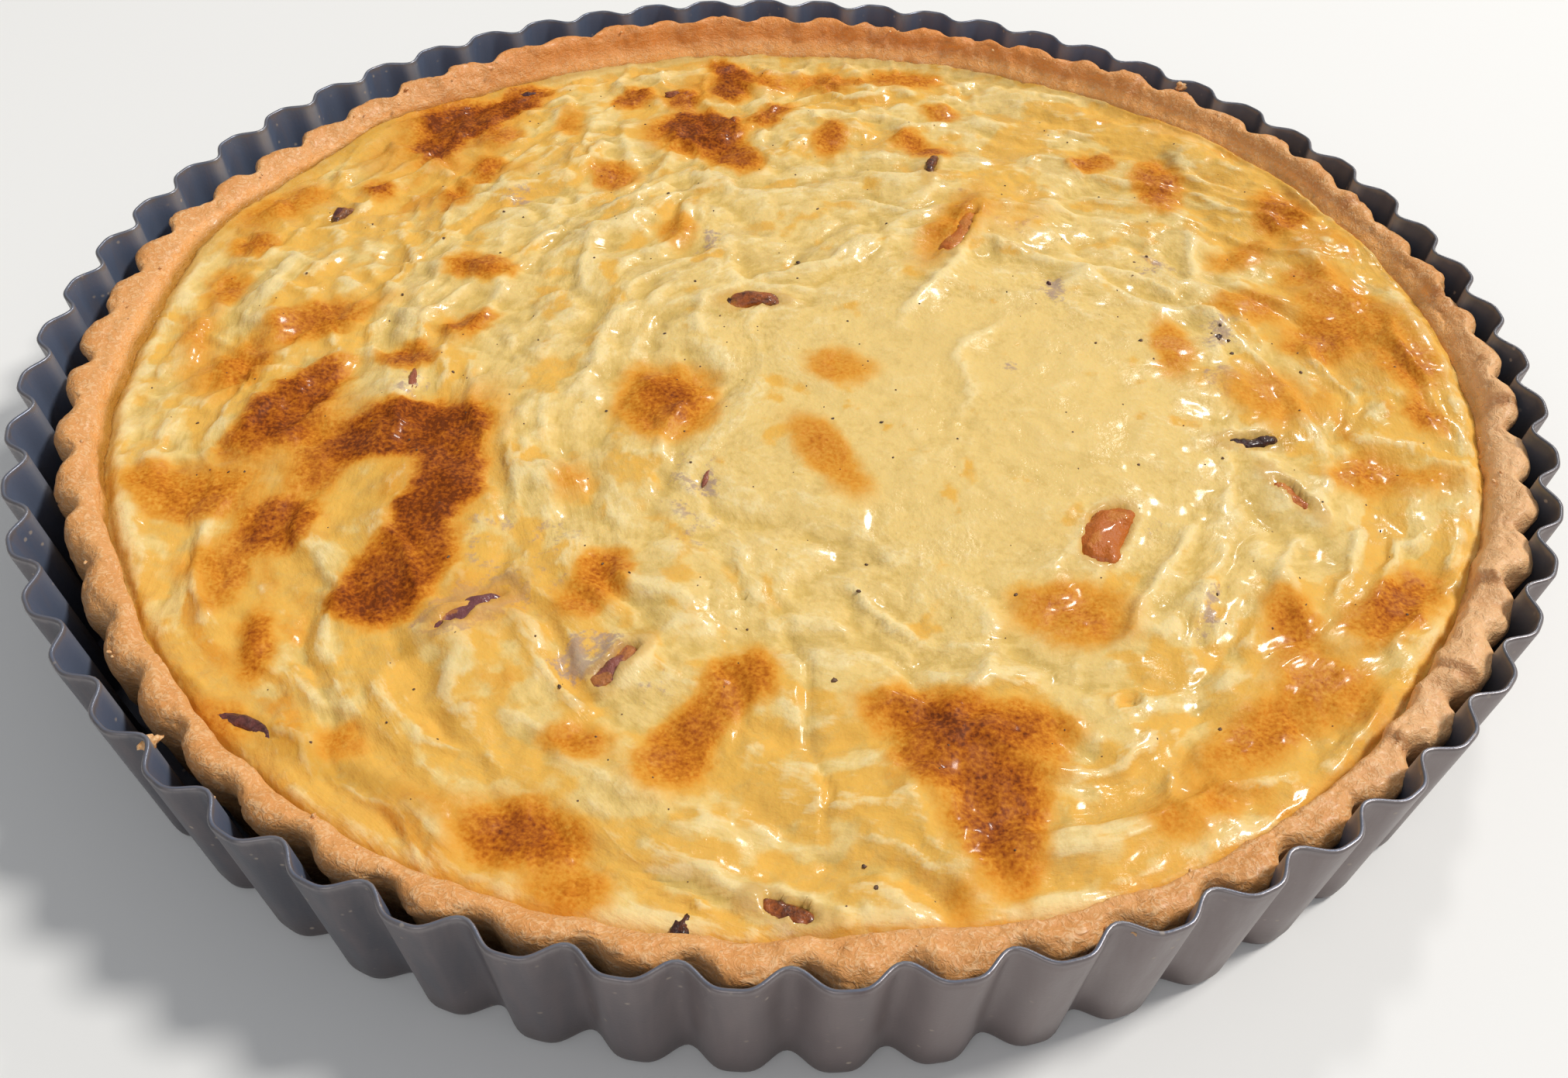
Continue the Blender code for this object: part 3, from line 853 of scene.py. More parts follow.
def custard_finish(settings):
    """Egg custard: cream, painted paler on its crests as painted light and olive in its valleys as painted
    shade, mottled with gold and orange, browned in stippled patches, grey over sunken bacon, and wet."""
    f = Finish("egg_custard")
    brown, golden, orange, grey = f.masks("browning golden orange greying")
    crest, shore, seep, ringed = f.masks("crest shore seep ringed")
    broad, mottle, fine = f.noise(20.0, 3.0), f.noise(3.6, 4.0, 0.6), f.noise(0.9, 3.0, 0.6)
    uneven = (mottle - 0.5) * 0.9 + (fine - 0.5) * 0.35
    silk = (f.noise(1.3, 3.0, 0.55, where=f.mask("coil", "Vector")) - 0.5) * ringed
    # Painted shade in the hollows between the wrinkles, where the crest mask is low
    valley_shade_share = (0.5 - crest + uneven * 0.5 - silk * 1.2).from_to(0.0, 0.55) * (1 - shore)
    # Painted light: paler on the crests of the wrinkles
    crest_light_share = (crest + uneven * 0.5 + silk * 1.2 - golden * 0.15).from_to(0.50, 0.95) * (1 - brown)
    smears = (grey + (mottle - 0.5) * 2.4 + (fine - 0.5) * 0.8).from_to(0.45, 0.95) * grey.from_to(0.0, 0.5)
    amber = (shore + seep + (mottle - 0.5) * 0.8).from_to(0.25, 0.9)
    freckle = (f.noise(2.2, 3.0, 0.65) + (broad - 0.5) * 0.6).from_to(0.50, 0.72)
    film = (f.noise(8.0, 2.0) + (mottle - 0.5) * 0.35).from_to(0.45, 0.58) * (1 - brown * 0.65)
    inner = brown.from_to(0.08, 0.6)
    stipple = (f.noise(0.62, 1.0, 0.5) - 0.5) * 0.6 + (0.42 - f.cells(1.1)) * 0.22
    grainy = (mottle - 0.5) * 0.35 + (fine - 0.5) * 0.30 + stipple
    toast = brown * (0.74 + 0.4 * f.noise(7.0, 2.0)) + grainy * inner
    stops = {"gold": 0.0, "orange": 0.30, "halo": 0.50, "toasted": 0.72, "browned": 0.88, "scorched": 1.0}
    baked = f.ramp(toast, [(place, getattr(settings, tone)) for tone, place in stops.items()])
    color = f.coats(
        settings.cream,
        # Painted shade: olive in the valleys
        (valley_shade_share * 0.8, settings.valley_painted_shade),
        ((golden + uneven * 0.9).from_to(0.2, 0.95), settings.gold),
        ((orange + uneven * 0.8).from_to(0.25, 1.0), settings.orange),
        # Painted light: pale cream on the crests
        (crest_light_share * 0.65, settings.pale),
        (smears * 0.8, settings.grey),
        (amber * 0.55, settings.amber),
        (freckle * 0.42, settings.freckle),
        ((brown + uneven * 0.4 * inner).from_to(0.04, 0.36), baked),
    )
    skin = f.bumps((f.cells(1.4), 0.12, 0.35), (silk, 0.30, 0.7), (mottle, 0.34, 0.6), (fine, 0.11, 0.6))
    wet = {"Coat_Weight": (film * ringed * 0.6).clamped(), "Coat_Roughness": 0.13}
    under = (0.10, (1.0, 0.5, 0.2), 0.0015)
    return f.done(color, 0.75 - film * 0.55, skin, under, Specular_IOR_Level=0.15, **wet)


def pastry_finish(settings):
    """Baked shortcrust: smooth dough with faint flakes, toasted on its edges, darker low down outside with
    painted shade of the gap to the tin and darker bake, painted shade along its pleats, painted light on its
    inner wall and on the right of its rim, and wet and amber where the custard meets it."""
    f = Finish("baked_pastry")
    bake, damp, deep, inward, warm, fair, fold = f.masks("bake damp deep inward warm fair fold")
    broad, dough, fine = f.noise(13.0, 3.0), f.noise(3.0, 4.0, 0.55), f.noise(0.6, 2.0, 0.6)
    swirl = f.noise(2.8, 3.0, 0.6, twist=1.4, stretch=(0.7, 0.7, 1.6))
    strokes = f.noise(1.6, 2.0, 0.55, twist=2.6, stretch=(1.0, 1.0, 1.4))
    toast = bake * 0.8 + (broad - 0.5) * 0.8 + (dough - 0.5) * 0.6
    flakes = (strokes * 0.7 + swirl * 0.3 + (fine - 0.5) * 0.3).from_to(0.49, 0.60)
    color = f.coats(
        settings.blond,
        (toast.from_to(-0.2, 0.9), settings.golden),
        # Inner wall: its deeper orange, made brighter as painted light where the wall lies in shade
        (inward * 0.95, settings.inner_orange_and_painted_light),
        (warm * (1 - inward * 0.9) * (0.35 + 0.6 * broad), settings.orange),
        # Painted light: the rim at the front right made paler, as if lit more
        (fair * (0.35 + 0.5 * dough), settings.fair),
        ((toast + (fine - 0.5) * 0.3 - inward * 0.6).from_to(0.6, 1.5), settings.toasted),
        # Painted shade of the gap to the tin, with darker bake, low on the outer wall
        (deep * (0.6 + 0.4 * dough), settings.deep),
        # Painted shade along the pleats' edges and the rim's creases, in the toasted colour
        (fold * 0.6, settings.toasted),
        (flakes * (0.48 - warm * (1 - inward) * 0.3), settings.pale),
        ((damp + (dough - 0.5) * damp).clamped(), settings.damp),
    )
    pits = (f.cells(2.2) + (fine - 0.5) * 0.3).from_to(0.0, 0.28)
    crumb = f.bumps(
        (pits, 0.12, 0.3), (swirl, 0.50, 0.6), (strokes, 0.32, 0.7), (dough, 0.5, 0.45), (fine, 0.08, 0.45)
    )
    glaze = {"Coat_Weight": (damp * 0.6 + (swirl - 0.42) * 0.9).clamped(), "Coat_Roughness": 0.24}
    roughness = 0.52 + (dough - 0.5) * 0.3 - damp * 0.18
    under = (0.06, (1.0, 0.45, 0.2), 0.0015)
    return f.done(color, roughness, crumb, under, Specular_IOR_Level=0.4, **glaze)


def bacon_finish(settings):
    """Fried bacon: streaks of lean and fat, darker where it is fried more, and glossy with fat."""
    f = Finish("fried_bacon")
    char, purple, streak = f.masks("char purple streak")
    fine, blotch = f.noise(0.6, 3.0, 0.6), f.noise(2.4, 3.0)
    fat = (streak + (blotch - 0.5) * 0.9 + (fine - 0.5) * 0.5).from_to(0.62, 0.85)
    fried = (char + (blotch - 0.5) * 0.7 + (fine - 0.5) * 0.5).from_to(0.3, 1.0)
    cured = (purple.clamped(), settings.purple)
    color = f.coats(settings.lean, cured, (fat * 0.6, settings.fat), (fried, settings.char))
    grain = f.bumps((fine, 0.3, 0.7), (blotch, 0.6, 0.5))
    gloss = {"Coat_Weight": (0.3 + (blotch - 0.5) * 1.2).clamped(), "Coat_Roughness": 0.10}
    under = (0.05, (1.0, 0.3, 0.2), 0.001)
    return f.done(color, 0.38 + (fine - 0.5) * 0.3, grain, under, Specular_IOR_Level=0.25, **gloss)


def tin_finish(settings):
    """Dark coated steel: satin, faintly streaked down the flutes, freckled with flour, worn on the rim."""
    f = Finish("tin_coating")
    worn, inside, low, ridge, cool, sheen = f.masks("worn inside low ridge cool sheen")
    streaks = f.noise(2.6, 4.0, 0.6, stretch=(1.0, 1.0, 0.12))
    cloud, fine = f.noise(18.0, 3.0), f.noise(0.5, 2.0)
    # Lighter streaks down the flutes, partly a painted satin sheen; fewer on the inner wall and on the
    # painted shade side
    lighter = (streaks - 0.5) * 1.3 + (cloud - 0.5) * 0.8 + 0.4 - inside * 0.45 - cool * 0.25
    speck = (1 - (f.cells(3.0) + (fine - 0.5) * 0.12).from_to(0.06, 0.16)) * cloud.from_to(0.42, 0.58)
    edge = (worn + (streaks - 0.5) * 1.2).from_to(0.55, 1.1)
    color = f.coats(
        settings.outside,
        # Inner wall: its own bluish coating, painted lighter and bluer as a painted reflection of the sky
        (inside, settings.inside),
        # Painted shade: the outer wall at the left and the inner wall at the right, turned from the key
        # light
        (cool * 0.85, settings.cool),
        # Painted sheen: the outer wall at the front right made lighter where the key light catches it
        (sheen * (0.3 + 0.5 * cloud), settings.sheen),
        (lighter.clamped(), settings.light),
        # Painted highlights: the inner wall's ridges made light where they would reflect the bright room
        (ridge * (0.4 + 0.4 * cloud), settings.ridge_painted_highlight),
        # Darker towards the foot of the wall, inside and out
        (low * (0.3 + 0.4 * cloud), settings.darkening),
        (speck * 0.7, settings.flour),
        (edge * 0.45, settings.bare),
    )
    roughness = 0.42 + (streaks - 0.5) * 0.25 + speck * 0.3 - edge * 0.1
    grain = f.bumps((streaks, 0.12, 0.5), (fine, 0.04, 0.5))
    return f.done(color, roughness, grain, Metallic=(0.25 + edge * 0.25).clamped())


def crumb_finish(name, light, dark, roughness=0.75):
    """A small baked or ground thing: two tones blended by fine noise, with a rough skin."""
    f = Finish(name)
    fine = f.noise(0.5, 3.0, 0.6)
    color = f.coats(dark, (fine.from_to(0.3, 0.7), light))
    return f.done(color, roughness - fine * 0.15, f.bumps((fine, 0.2, 0.7)))


# ---- Settings --------------------------------------------------------------


def number(name, description, default, **more):
    return bpy.props.FloatProperty(name=name, description=description, default=default, **more)


def length(name, description, default):
    return number(name, description, default, min=0.0, unit="LENGTH")


def color(name, description, default):
    return bpy.props.FloatVectorProperty(
        name=name, description=description, default=default, size=3, min=0.0, max=1.0, subtype="COLOR"
    )


class TinSettings(bpy.types.PropertyGroup):
    rim_radius: length("Rim radius", "Radius to the flutes' crests at the rim", 139.97 * MM)
    foot_radius: length("Foot radius", "Radius to the flutes' crests at the foot", 135.6 * MM)
    flute_depth: length("Flute depth", "From a flute's crest to its ridge", 3.4 * MM)
    sheet: length("Sheet", "Thickness of the metal", 0.8 * MM)
    outside: color("Outside", "Coating of the outer wall", (0.145, 0.108, 0.105))
    # The inner wall's own bluish coating, painted lighter and bluer as a painted reflection of the sky
    inside: color("Inside", "Coating of the inner wall", (0.125, 0.16, 0.245))
    # Painted shade for the outer wall at the left and the inner wall at the right
    cool: color("Cool", "Outer wall at the left and inner wall at the right", (0.078, 0.084, 0.102))
    # Painted sheen on the outer wall at the front right, where the key light catches it
    sheen: color("Sheen", "Outer wall at the right, worn lighter", (0.33, 0.29, 0.28))
    # Lighter streaks down the flutes, partly a painted satin sheen
    light: color("Streaks", "Lighter streaks down the flutes", (0.21, 0.165, 0.16))
    # Painted highlights on the ridges of the inner wall
    ridge_painted_highlight: color("Rubbed", "Ridges of the inner wall", (0.36, 0.37, 0.40))
    # Darker towards the foot of the wall, inside and out
    darkening: color("Stain", "Bake stain low on the wall", (0.085, 0.062, 0.055))
    flour: color("Flour", "Baked-on specks of flour", (0.50, 0.42, 0.34))
    bare: color("Bare metal", "Worn rim", (0.26, 0.24, 0.24))


class CrustSettings(bpy.types.PropertyGroup):
    foot_radius: length("Foot radius", "Radius of the crust's foot", 127.8 * MM)
    wall_radius: length("Wall radius", "Radius of the crust's outer wall under the rim", 132.9 * MM)
    height: length("Height", "Height of the rim", 27.2 * MM)
    flute_depth: length("Flute depth", "How far the flutes stand out", 3.5 * MM)
    blond: color("Blond", "Least baked pastry", (0.81, 0.405, 0.142))
    golden: color("Golden", "Baked pastry", (0.72, 0.31, 0.088))
    # The inner wall's deeper orange, pushed brighter as painted light for a wall that lies in shade
    inner_orange_and_painted_light: color("Sheltered", "Inner wall over the custard", (1.0, 0.47, 0.14))
    orange: color("Orange", "The back of the rim, baked more", (0.82, 0.27, 0.045))
    # Painted light: the rim at the front right made paler, as if lit more
    fair: color("Fair", "The right of the rim, baked less", (0.97, 0.60, 0.31))
    toasted: color("Toasted", "Toasted edges", (0.47, 0.165, 0.042))
    # Painted shade of the gap to the tin, with darker bake, low on the outer wall
    deep: color("Deep", "Outer wall low down", (0.36, 0.13, 0.035))
    damp: color("Damp", "Where the custard wets it", (0.52, 0.24, 0.035))
    pale: color("Flakes", "Pale flakes", (0.93, 0.62, 0.33))


class CustardSettings(bpy.types.PropertyGroup):
    wrinkle_height: length("Wrinkle height", "Height of the skin's wrinkles", 1.9 * MM)
    cream: color("Cream", "Base of the custard", (0.85, 0.605, 0.22))
    # Painted light on the tops of the wrinkles
    pale: color("Pale", "Tops of the wrinkles", (0.95, 0.77, 0.40))
    # Painted shade in the valleys between the wrinkles
    valley_painted_shade: color("Olive", "Valleys between the wrinkles", (0.66, 0.44, 0.115))
    gold: color("Gold", "Warmer parts", (0.83, 0.47, 0.09))
    orange: color("Orange", "Warmest parts", (0.76, 0.34, 0.04))
    grey: color("Grey", "Over sunken bacon", (0.44, 0.30, 0.235))
    freckle: color("Freckles", "Faint darker freckles", (0.66, 0.44, 0.13))
    amber: color("Amber", "Along the crust", (0.56, 0.28, 0.03))
    halo: color("Halo", "Edge of a browned patch", (0.66, 0.235, 0.016))
    toasted: color("Toasted", "Lightly browned", (0.47, 0.13, 0.006))
    browned: color("Browned", "Browned", (0.31, 0.068, 0.003))
    scorched: color("Scorched", "Darkest dots", (0.17, 0.034, 0.002))


class BaconSettings(bpy.types.PropertyGroup):
    lean: color("Lean", "Fried lean", (0.54, 0.145, 0.02))
    purple: color("Cured lean", "Cured lean under the skin", (0.16, 0.06, 0.08))
    fat: color("Fat", "Rendered fat", (0.66, 0.25, 0.045))
    char: color("Char", "Most fried parts", (0.035, 0.012, 0.010))


class StageSettings(bpy.types.PropertyGroup):
    floor_width: length("Floor width", "Side of the square floor", 4.0)
    floor_color: color("Floor", "Plain pale floor", (0.90, 0.90, 0.89))
    key_power: number("Key light", "Power of the key light", 69.0, unit="POWER")
    sky: number("Sky", "Strength of the even light from all round", 0.28)
    focal_length: number("Focal length", "Of the camera", 35.156, unit="CAMERA")


# ---- Operators -------------------------------------------------------------


def tin_points(settings):
    """The tin's outer and inner wall as one closed profile carried round its axis.

    Outside, each row is a ring of radius (crest radius - depth * (1 - flute) / 2). The inside is the
    outside moved in by the sheet's thickness along its normal, and a half circle joins them over the rim.
    """
    angle = around_rim(22)
    foot, rim = settings.foot_radius / MM, settings.rim_radius / MM
    depth, sheet = settings.flute_depth / MM, settings.sheet / MM
    bend_top = 2
    knots = [(30, 0, 0), (110, 0, 0), (foot - 6, 0, 0.9), (foot - 2, 0, 1), (foot - 0.5, 0.6, 1)]
    bend = profile([*knots, (foot, bend_top, 1)], (2, 3, 4, 3, 3))
    rise = np.linspace(0, 1, 17)[1:, None]
    top = TIN_TOP - sheet / 2 - CLEAR_OF_TOP
    wall = np.hstack([foot + (rim - foot) * rise, bend_top + (top - bend_top) * rise, np.ones_like(rise)])
    rows = np.vstack([bend, wall])
    wobble = 0.12 * NOISE(circled(12, angle), 3.0)
    radius = rows[:, :1] - rows[:, 2:] * depth * (1 - flute(angle)) / 2
    radius = radius - rows[:, 2:] * rows[:, 1:2] / TIN_TOP * np.abs(wobble)
    outer = circled(radius, angle, rows[:, 1:2])
    inner = outer - sheet * normals(outer)
    inner[rows[:, 1] < 0.01, :, 2] = sheet
    middle, half = (outer[-1] + inner[-1]) / 2, (outer[-1] - inner[-1]) / 2
    over = [
        middle + half * math.cos(turn) + np.array([0, 0, sheet / 2]) * math.sin(turn)
        for turn in np.linspace(0, math.pi, 7)[1:-1]
    ]
    points = np.concatenate([outer, over, inner[::-1]])
    points[..., 2] = np.clip(points[..., 2], 0, None)
    count = len(outer)
    worn, inside = np.zeros(points.shape[:2]), np.zeros(points.shape[:2])
    worn[count - 1 : count + len(over) + 1] = 1.0
    inside[count + 2 :] = 1.0
    # low: 1 at the foot of the wall, fading out 9 mm up; the finish darkens the wall there
    low = ease(1 - points[..., 2] / 9.0)
    # Painted highlights along the inner wall's ridges, stronger on some flutes than others
    ridge = inside * ease((-0.55 - flute(angle)) / 0.4) * per_flute(angle, 0.2, 1.0, 9)
    x = points[..., 0]
    # Painted shade: 1 on the outer wall at the left and on the inner wall at the right, which face away from
    # the key light
    cool = (1 - inside) * ease((20 - x) / 90) + inside * ease((x - 70) / 50)
    # Painted sheen: 1 on the outer wall at the front right, above the foot, where the key light catches it
    sheen = (1 - inside) * (1 - low) * ease((np.cos(angle - math.radians(306)) - 0.86) / 0.12)
    masks = {"worn": worn, "inside": inside, "low": low, "ridge": ridge, "cool": cool, "sheen": sheen}
    return points, masks


class QUICHE_OT_tin(bpy.types.Operator):
    """Makes the fluted tart tin"""

    bl_idname = "quiche.tin"
    bl_label = "Tart tin"

    def execute(self, context):
        settings = context.scene.quiche_tin
        points, masks = tin_points(settings)
        tin = closed_rings("tart_tin", points, tin_finish(settings), masks)
        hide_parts("tin")
        return {"FINISHED"}


def rim_rise(angle):
    """How far the rim stands above its mean height: slow waves, less the folds across it."""
    rise = sum(height * np.sin(count * angle + turn) for count, turn, height in RIM_WAVES)
    return rise - rim_crease(angle) + 0.6 * ease((np.sin(angle) - 0.45) / 0.4)


def rim_crease(angle):
    """1 on the line of a fold across the rim, falling to 0 within about two degrees of it."""
    return round_sum(np.degrees(angle), [(middle, 0.9, 1.0) for middle in RIM_CREASES])


def pleats(angle):
    """Dough that overlaps itself: from each fold the rim stands up at once and sinks back slowly."""
    total = np.zeros_like(angle)
    for middle, height, spread in PLEATS:
        away = way_round(np.degrees(angle), middle)
        total += height * ease(away / 0.5) * np.exp(-np.clip(away, 0, None) / spread)
    return total


def pleat_shade_lines(angle):
    """1 along the edge of each overlap, where painted shade darkens the dough, and 0 away from it."""
    return round_sum(np.degrees(angle), [(middle, 0.45, min(height, 1.0)) for middle, height, _ in PLEATS])


def crust_points(settings):
    """The crust's profile carried round, with its flutes, its uneven rim, and dough relief along the normal.

    Each row of the profile holds a radius, a height, the shares of the flutes, of the rim's rise and of the
    shore's shift, and how many mm fuller the rim is away from the back. A ring's radius is radius + share *
    half depth * flute + share * shift, and its height is height + share * rise + fuller.
    """
    angle = around_rim(25)
    foot, wall, top = settings.foot_radius / MM, settings.wall_radius / MM, settings.height / MM
    half = settings.flute_depth / MM / 2
    inner = CUSTARD_RADIUS
    under, floor, middle = 1.1, 5.1, 118
    knots = (
        (60, under, 0, 0, 0, 0),
        (middle, under, 0, 0, 0, 0),
        (foot - 3, under, 0.5, 0, 0, 0),
        (foot - 0.2, 1.6, 0.9, 0, 0, 0),
        (foot + 1.2, 6.0, 0.95, 0, 0, 0),
        (wall - 0.5, 20.5, 1.0, 0.3, 0, 0),
        (wall + 0.15, top - 2.9, 1.0, 0.7, 0, 0),
        (wall - 0.4, top - 0.8, 0.85, 1.0, 0.1, 0),
        (wall - 1.7, top + 0.05, 0.6, 1.0, 0.3, 0),
        (wall - 3.0, top - 0.9, 0.28, 0.9, 0.6, 0.5),
        (wall - 4.2, top - 2.9, 0.1, 0.5, 0.9, 1.4),
        (inner + 0.1, CUSTARD_EDGE, 0, 0, 1, 0),
        (inner - 0.6, 14.0, 0, 0, 1, 0),
        (inner - 2.0, floor, 0, 0, 0.5, 0),
        (middle, floor, 0, 0, 0, 0),
        (60, floor, 0, 0, 0, 0),
    )
    spans = (2, 2, 3, 3, 9, 6, 5, 5, 5, 5, 7, 4, 2, 2, 2)
    rows = profile(knots, spans)
    crease = rim_crease(angle)
    out, up = shore_shift(np.degrees(angle))
    east, north = np.cos(angle), np.sin(angle)
    far_side = 0.18 * ease((east + north + 0.4) / 0.8)
    slack = 0.35 * ease((np.cos(angle - math.radians(232)) - 0.75) / 0.2)
    flute_share = rows[:, 2:3] * per_flute(angle, 0.72, 1.15, 5) * (1 - far_side - slack)
    rim, fuller = rows[:, 3:4], rows[:, 5:6]
    radius = rows[:, :1] + flute_share * half * crust_flute(angle) - 0.6 * crease * rim + rows[:, 4:5] * out
    radius = radius + rim * (per_flute(angle, -0.35, 0.25, 6) - 0.5 * pleats(angle))
    radius = radius + rim * round_sum(np.degrees(angle), RIM_SPREAD)
    radius = radius + 0.85 * fuller * ease((north + 0.3) / 0.5) * (1 - ease((-0.3 - east) / 0.4))
    lift = 0.30 * crust_flute(angle) * rows[:, 2:3] + per_flute(angle, -0.3, 0.3, 7) + pleats(angle)
    height = rows[:, 1:2] + rim * (rim_rise(angle) + lift) + rows[:, 4:5] * 0.5 * up
    height = height + fuller * (1 - ease((north - 0.1) / 0.5)) * (1 - 0.25 * np.clip(up, 0, 3.0))
    points = circled(radius, angle, height)
    points[..., :2] += CRUST_MIDDLE

    within = np.arange(len(rows))[:, None] >= sum(spans[:10])
    buried = within & (rows[:, 1:2] < CUSTARD_EDGE - 1.0)
    shown = np.where(buried, 0.0, ease((points[..., 2] - 2.5) / 5.0))
    dough = 0.50 * layers(points, 7.5, 2, 5.0) + 0.13 * layers(points, 2.4, 2, 21.0)
    blisters = ease((NOISE(points + 60, 3.0) - 0.30) / 0.5) * 0.30
    flakes = -0.22 * ease((np.abs(NOISE(points * [1, 1, 2.2] + 90, 5.0)) - 0.02) / -0.06 + 1)
    points = points + normals(points) * (shown * (dough + blisters + flakes))[..., None]
    over_top = np.clip(points[..., 2] - RIM_LIMIT, 0, None)
    points[..., 2] += RIM_SOFTNESS * np.tanh(over_top / RIM_SOFTNESS) - over_top

    crown = ease((crust_flute(angle) + 0.2) / 1.2) * rim
    over = rows[:, 1:2] - CUSTARD_EDGE - 0.5 * up
    left = ease((-0.2 - east) / 0.5)
    damp = ease((0.9 + 0.9 * left - over) / (0.8 + 0.7 * left))
    masks = {
        "bake": np.clip(0.35 * rim + 0.35 * crown + 0.25 * blisters / 0.3, 0, 1),
        # inward: the inner wall above the custard, which the finish paints brighter as painted light
        "inward": np.where(within, ease((3.6 - over) / 2.4), 0.0) * (1 - 0.5 * left),
        "damp": np.where(within, damp, 0.0) * (0.4 + 0.6 * left),
        # The outer wall low down, in the gap to the tin: painted shade there, with darker bake
        "deep": np.where(within, 0.0, ease((21.0 - rows[:, 1:2]) / 14.0)),
        "warm": ease((north - 0.65) / 0.3),
        # Painted shade along the pleats' edges and, more faintly, the rim's creases
        "fold": np.clip(pleat_shade_lines(angle) + 0.5 * crease, 0, 1) * rim,
        # Painted light on the rim at the front right
        "fair": ease((np.cos(angle + 0.40) - 0.84) / 0.14),
    }
    return points, {name: mask + 0 * over for name, mask in masks.items()}


class QUICHE_OT_crust(bpy.types.Operator):
    """Makes the baked crust"""

    bl_idname = "quiche.crust"
    bl_label = "Crust"

    def execute(self, context):
        settings = context.scene.quiche_crust
        points, masks = crust_points(settings)
        crust = closed_rings("baked_crust", points, pastry_finish(settings), masks)
        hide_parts("crust")
        return {"FINISHED"}


class QUICHE_OT_custard(bpy.types.Operator):
    """Makes the custard, with its wrinkled and browned skin"""

    bl_idname = "quiche.custard"
    bl_label = "Custard"

    def execute(self, context):
        """The skin is a square grid bent to a disc, x = u * sqrt(1 - v^2 / 2), y = v * sqrt(1 - u^2 / 2),
        whose edge follows the shore. From there, rings run down the side to the floor, where they close."""
        settings = context.scene.quiche_custard
        steps = 300
        u, v = np.meshgrid(np.linspace(-1, 1, steps + 1), np.linspace(-1, 1, steps + 1))
        across, along = u * np.sqrt(1 - v * v / 2), v * np.sqrt(1 - u * u / 2)
        out = shore_shift(np.degrees(np.arctan2(along, across)))[0]
        radius = CUSTARD_RADIUS + 0.4 + out * np.hypot(across, along) ** 6
        x, y = radius * across + CRUST_MIDDLE[0], radius * along + CRUST_MIDDLE[1]
        height, masks = custard_skin(x, y, settings)
        # crest: how far the skin stands above its neighbourhood, for painted light on crests and painted
        # shade in hollows
        masks["crest"] = np.clip(0.5 + (height - blurred(height, 5)) / 1.1, 0, 1)
        top = np.stack([x, y, height], axis=-1).reshape(-1, 3)
        index = np.arange((steps + 1) ** 2).reshape(steps + 1, steps + 1)
        quads = np.stack([index[:-1, :-1], index[:-1, 1:], index[1:, 1:], index[1:, :-1]], axis=-1)
        edge = np.concatenate([index[0, :-1], index[:-1, -1], index[-1, :0:-1], index[:0:-1, 0]])
        spoke = (top[edge, :2] - CRUST_MIDDLE) / CUSTARD_RADIUS
        first, count = len(top), len(edge)
        side = []  # rings up the side, each with how far in it stands and how high
        for inset, ring_height in ((2.3, CUSTARD_FLOOR), (0.6, 14.0), (0.0, 19.5)):
            ring = spoke * (CUSTARD_RADIUS - inset) + CRUST_MIDDLE
            side.append(np.column_stack([ring, np.full(count, ring_height)]))
        side = np.array(side)
        faces = quads.reshape(-1, 4).tolist() + ring_faces(len(side), count, first)
        upper = first + (len(side) - 1) * count + np.arange(count)
        faces += np.stack([upper, np.roll(upper, -1), np.roll(edge, -1), edge], axis=-1).tolist()
        faces += fan(list(range(first, first + count)), first + len(side) * count)
        bottom = np.array([[*CRUST_MIDDLE, CUSTARD_FLOOR]])
        points = np.vstack([top, side.reshape(-1, 3), bottom])
        low = len(points) - len(top)
        values = {name: np.concatenate([mask.ravel(), np.zeros(low)]) for name, mask in masks.items()}
        values["coil"] = np.vstack([coiled(x, y, 34.0).reshape(-1, 3), np.zeros((low, 3))]) * MM
        custard = new_piece("custard_filling", points, faces, custard_finish(settings), values)
        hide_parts("custard")
        return {"FINISHED"}


def power(wave, exponent):
    """A wave's sign times its size to a power, which squares off an ellipse."""
    return np.sign(wave) * np.abs(wave) ** exponent


def bacon_points(row, number):
    """A lardon: a squared-off ellipsoid, tapered to one end and bent sideways, with noise along its normal.

    Rings run across its length. The place along it is power(sin v), the ring's size is power(cos v), and
    the ring itself is (power(cos u), power(sin u)).
    """
    x, y, turn, long, wide, thick, proud = row[:7]
    v = np.linspace(-math.pi / 2, math.pi / 2, 35)[1:-1, None]
    u = np.linspace(0, 2 * math.pi, 44, endpoint=False)[None, :]
    along = long / 2 * power(np.sin(v), 0.7) + 0 * u
    size = power(np.cos(v), 0.55)
    across = wide / 2 * size * power(np.cos(u), 0.75)
    up = thick / 2 * size * power(np.sin(u), 0.75)
    share = along / long
    across = across * (1 - 0.28 * (share + 0.5)) + 0.10 * long * (0.33 - 4 * share**2) * (-1) ** number
    points = np.stack([along, across, up], axis=-1)
    seat = points + 37.0 * number
    relief = 0.55 * layers(seat, 3.0, 3) + 0.14 * NOISE(seat, 0.9)
    points = points + normals(points) * relief[..., None]
    streak = 0.5 + 0.5 * np.sin(points[..., 2] / thick * 9 + 2.2 * NOISE(seat * [0.4, 1, 1], 2.0) + number)
    level = custard_form(np.array(float(x)), np.array(float(y))) + (proud - 0.5) * thick - BACON_SINK
    return spun(points, math.radians(turn)) + [x, y, level], streak


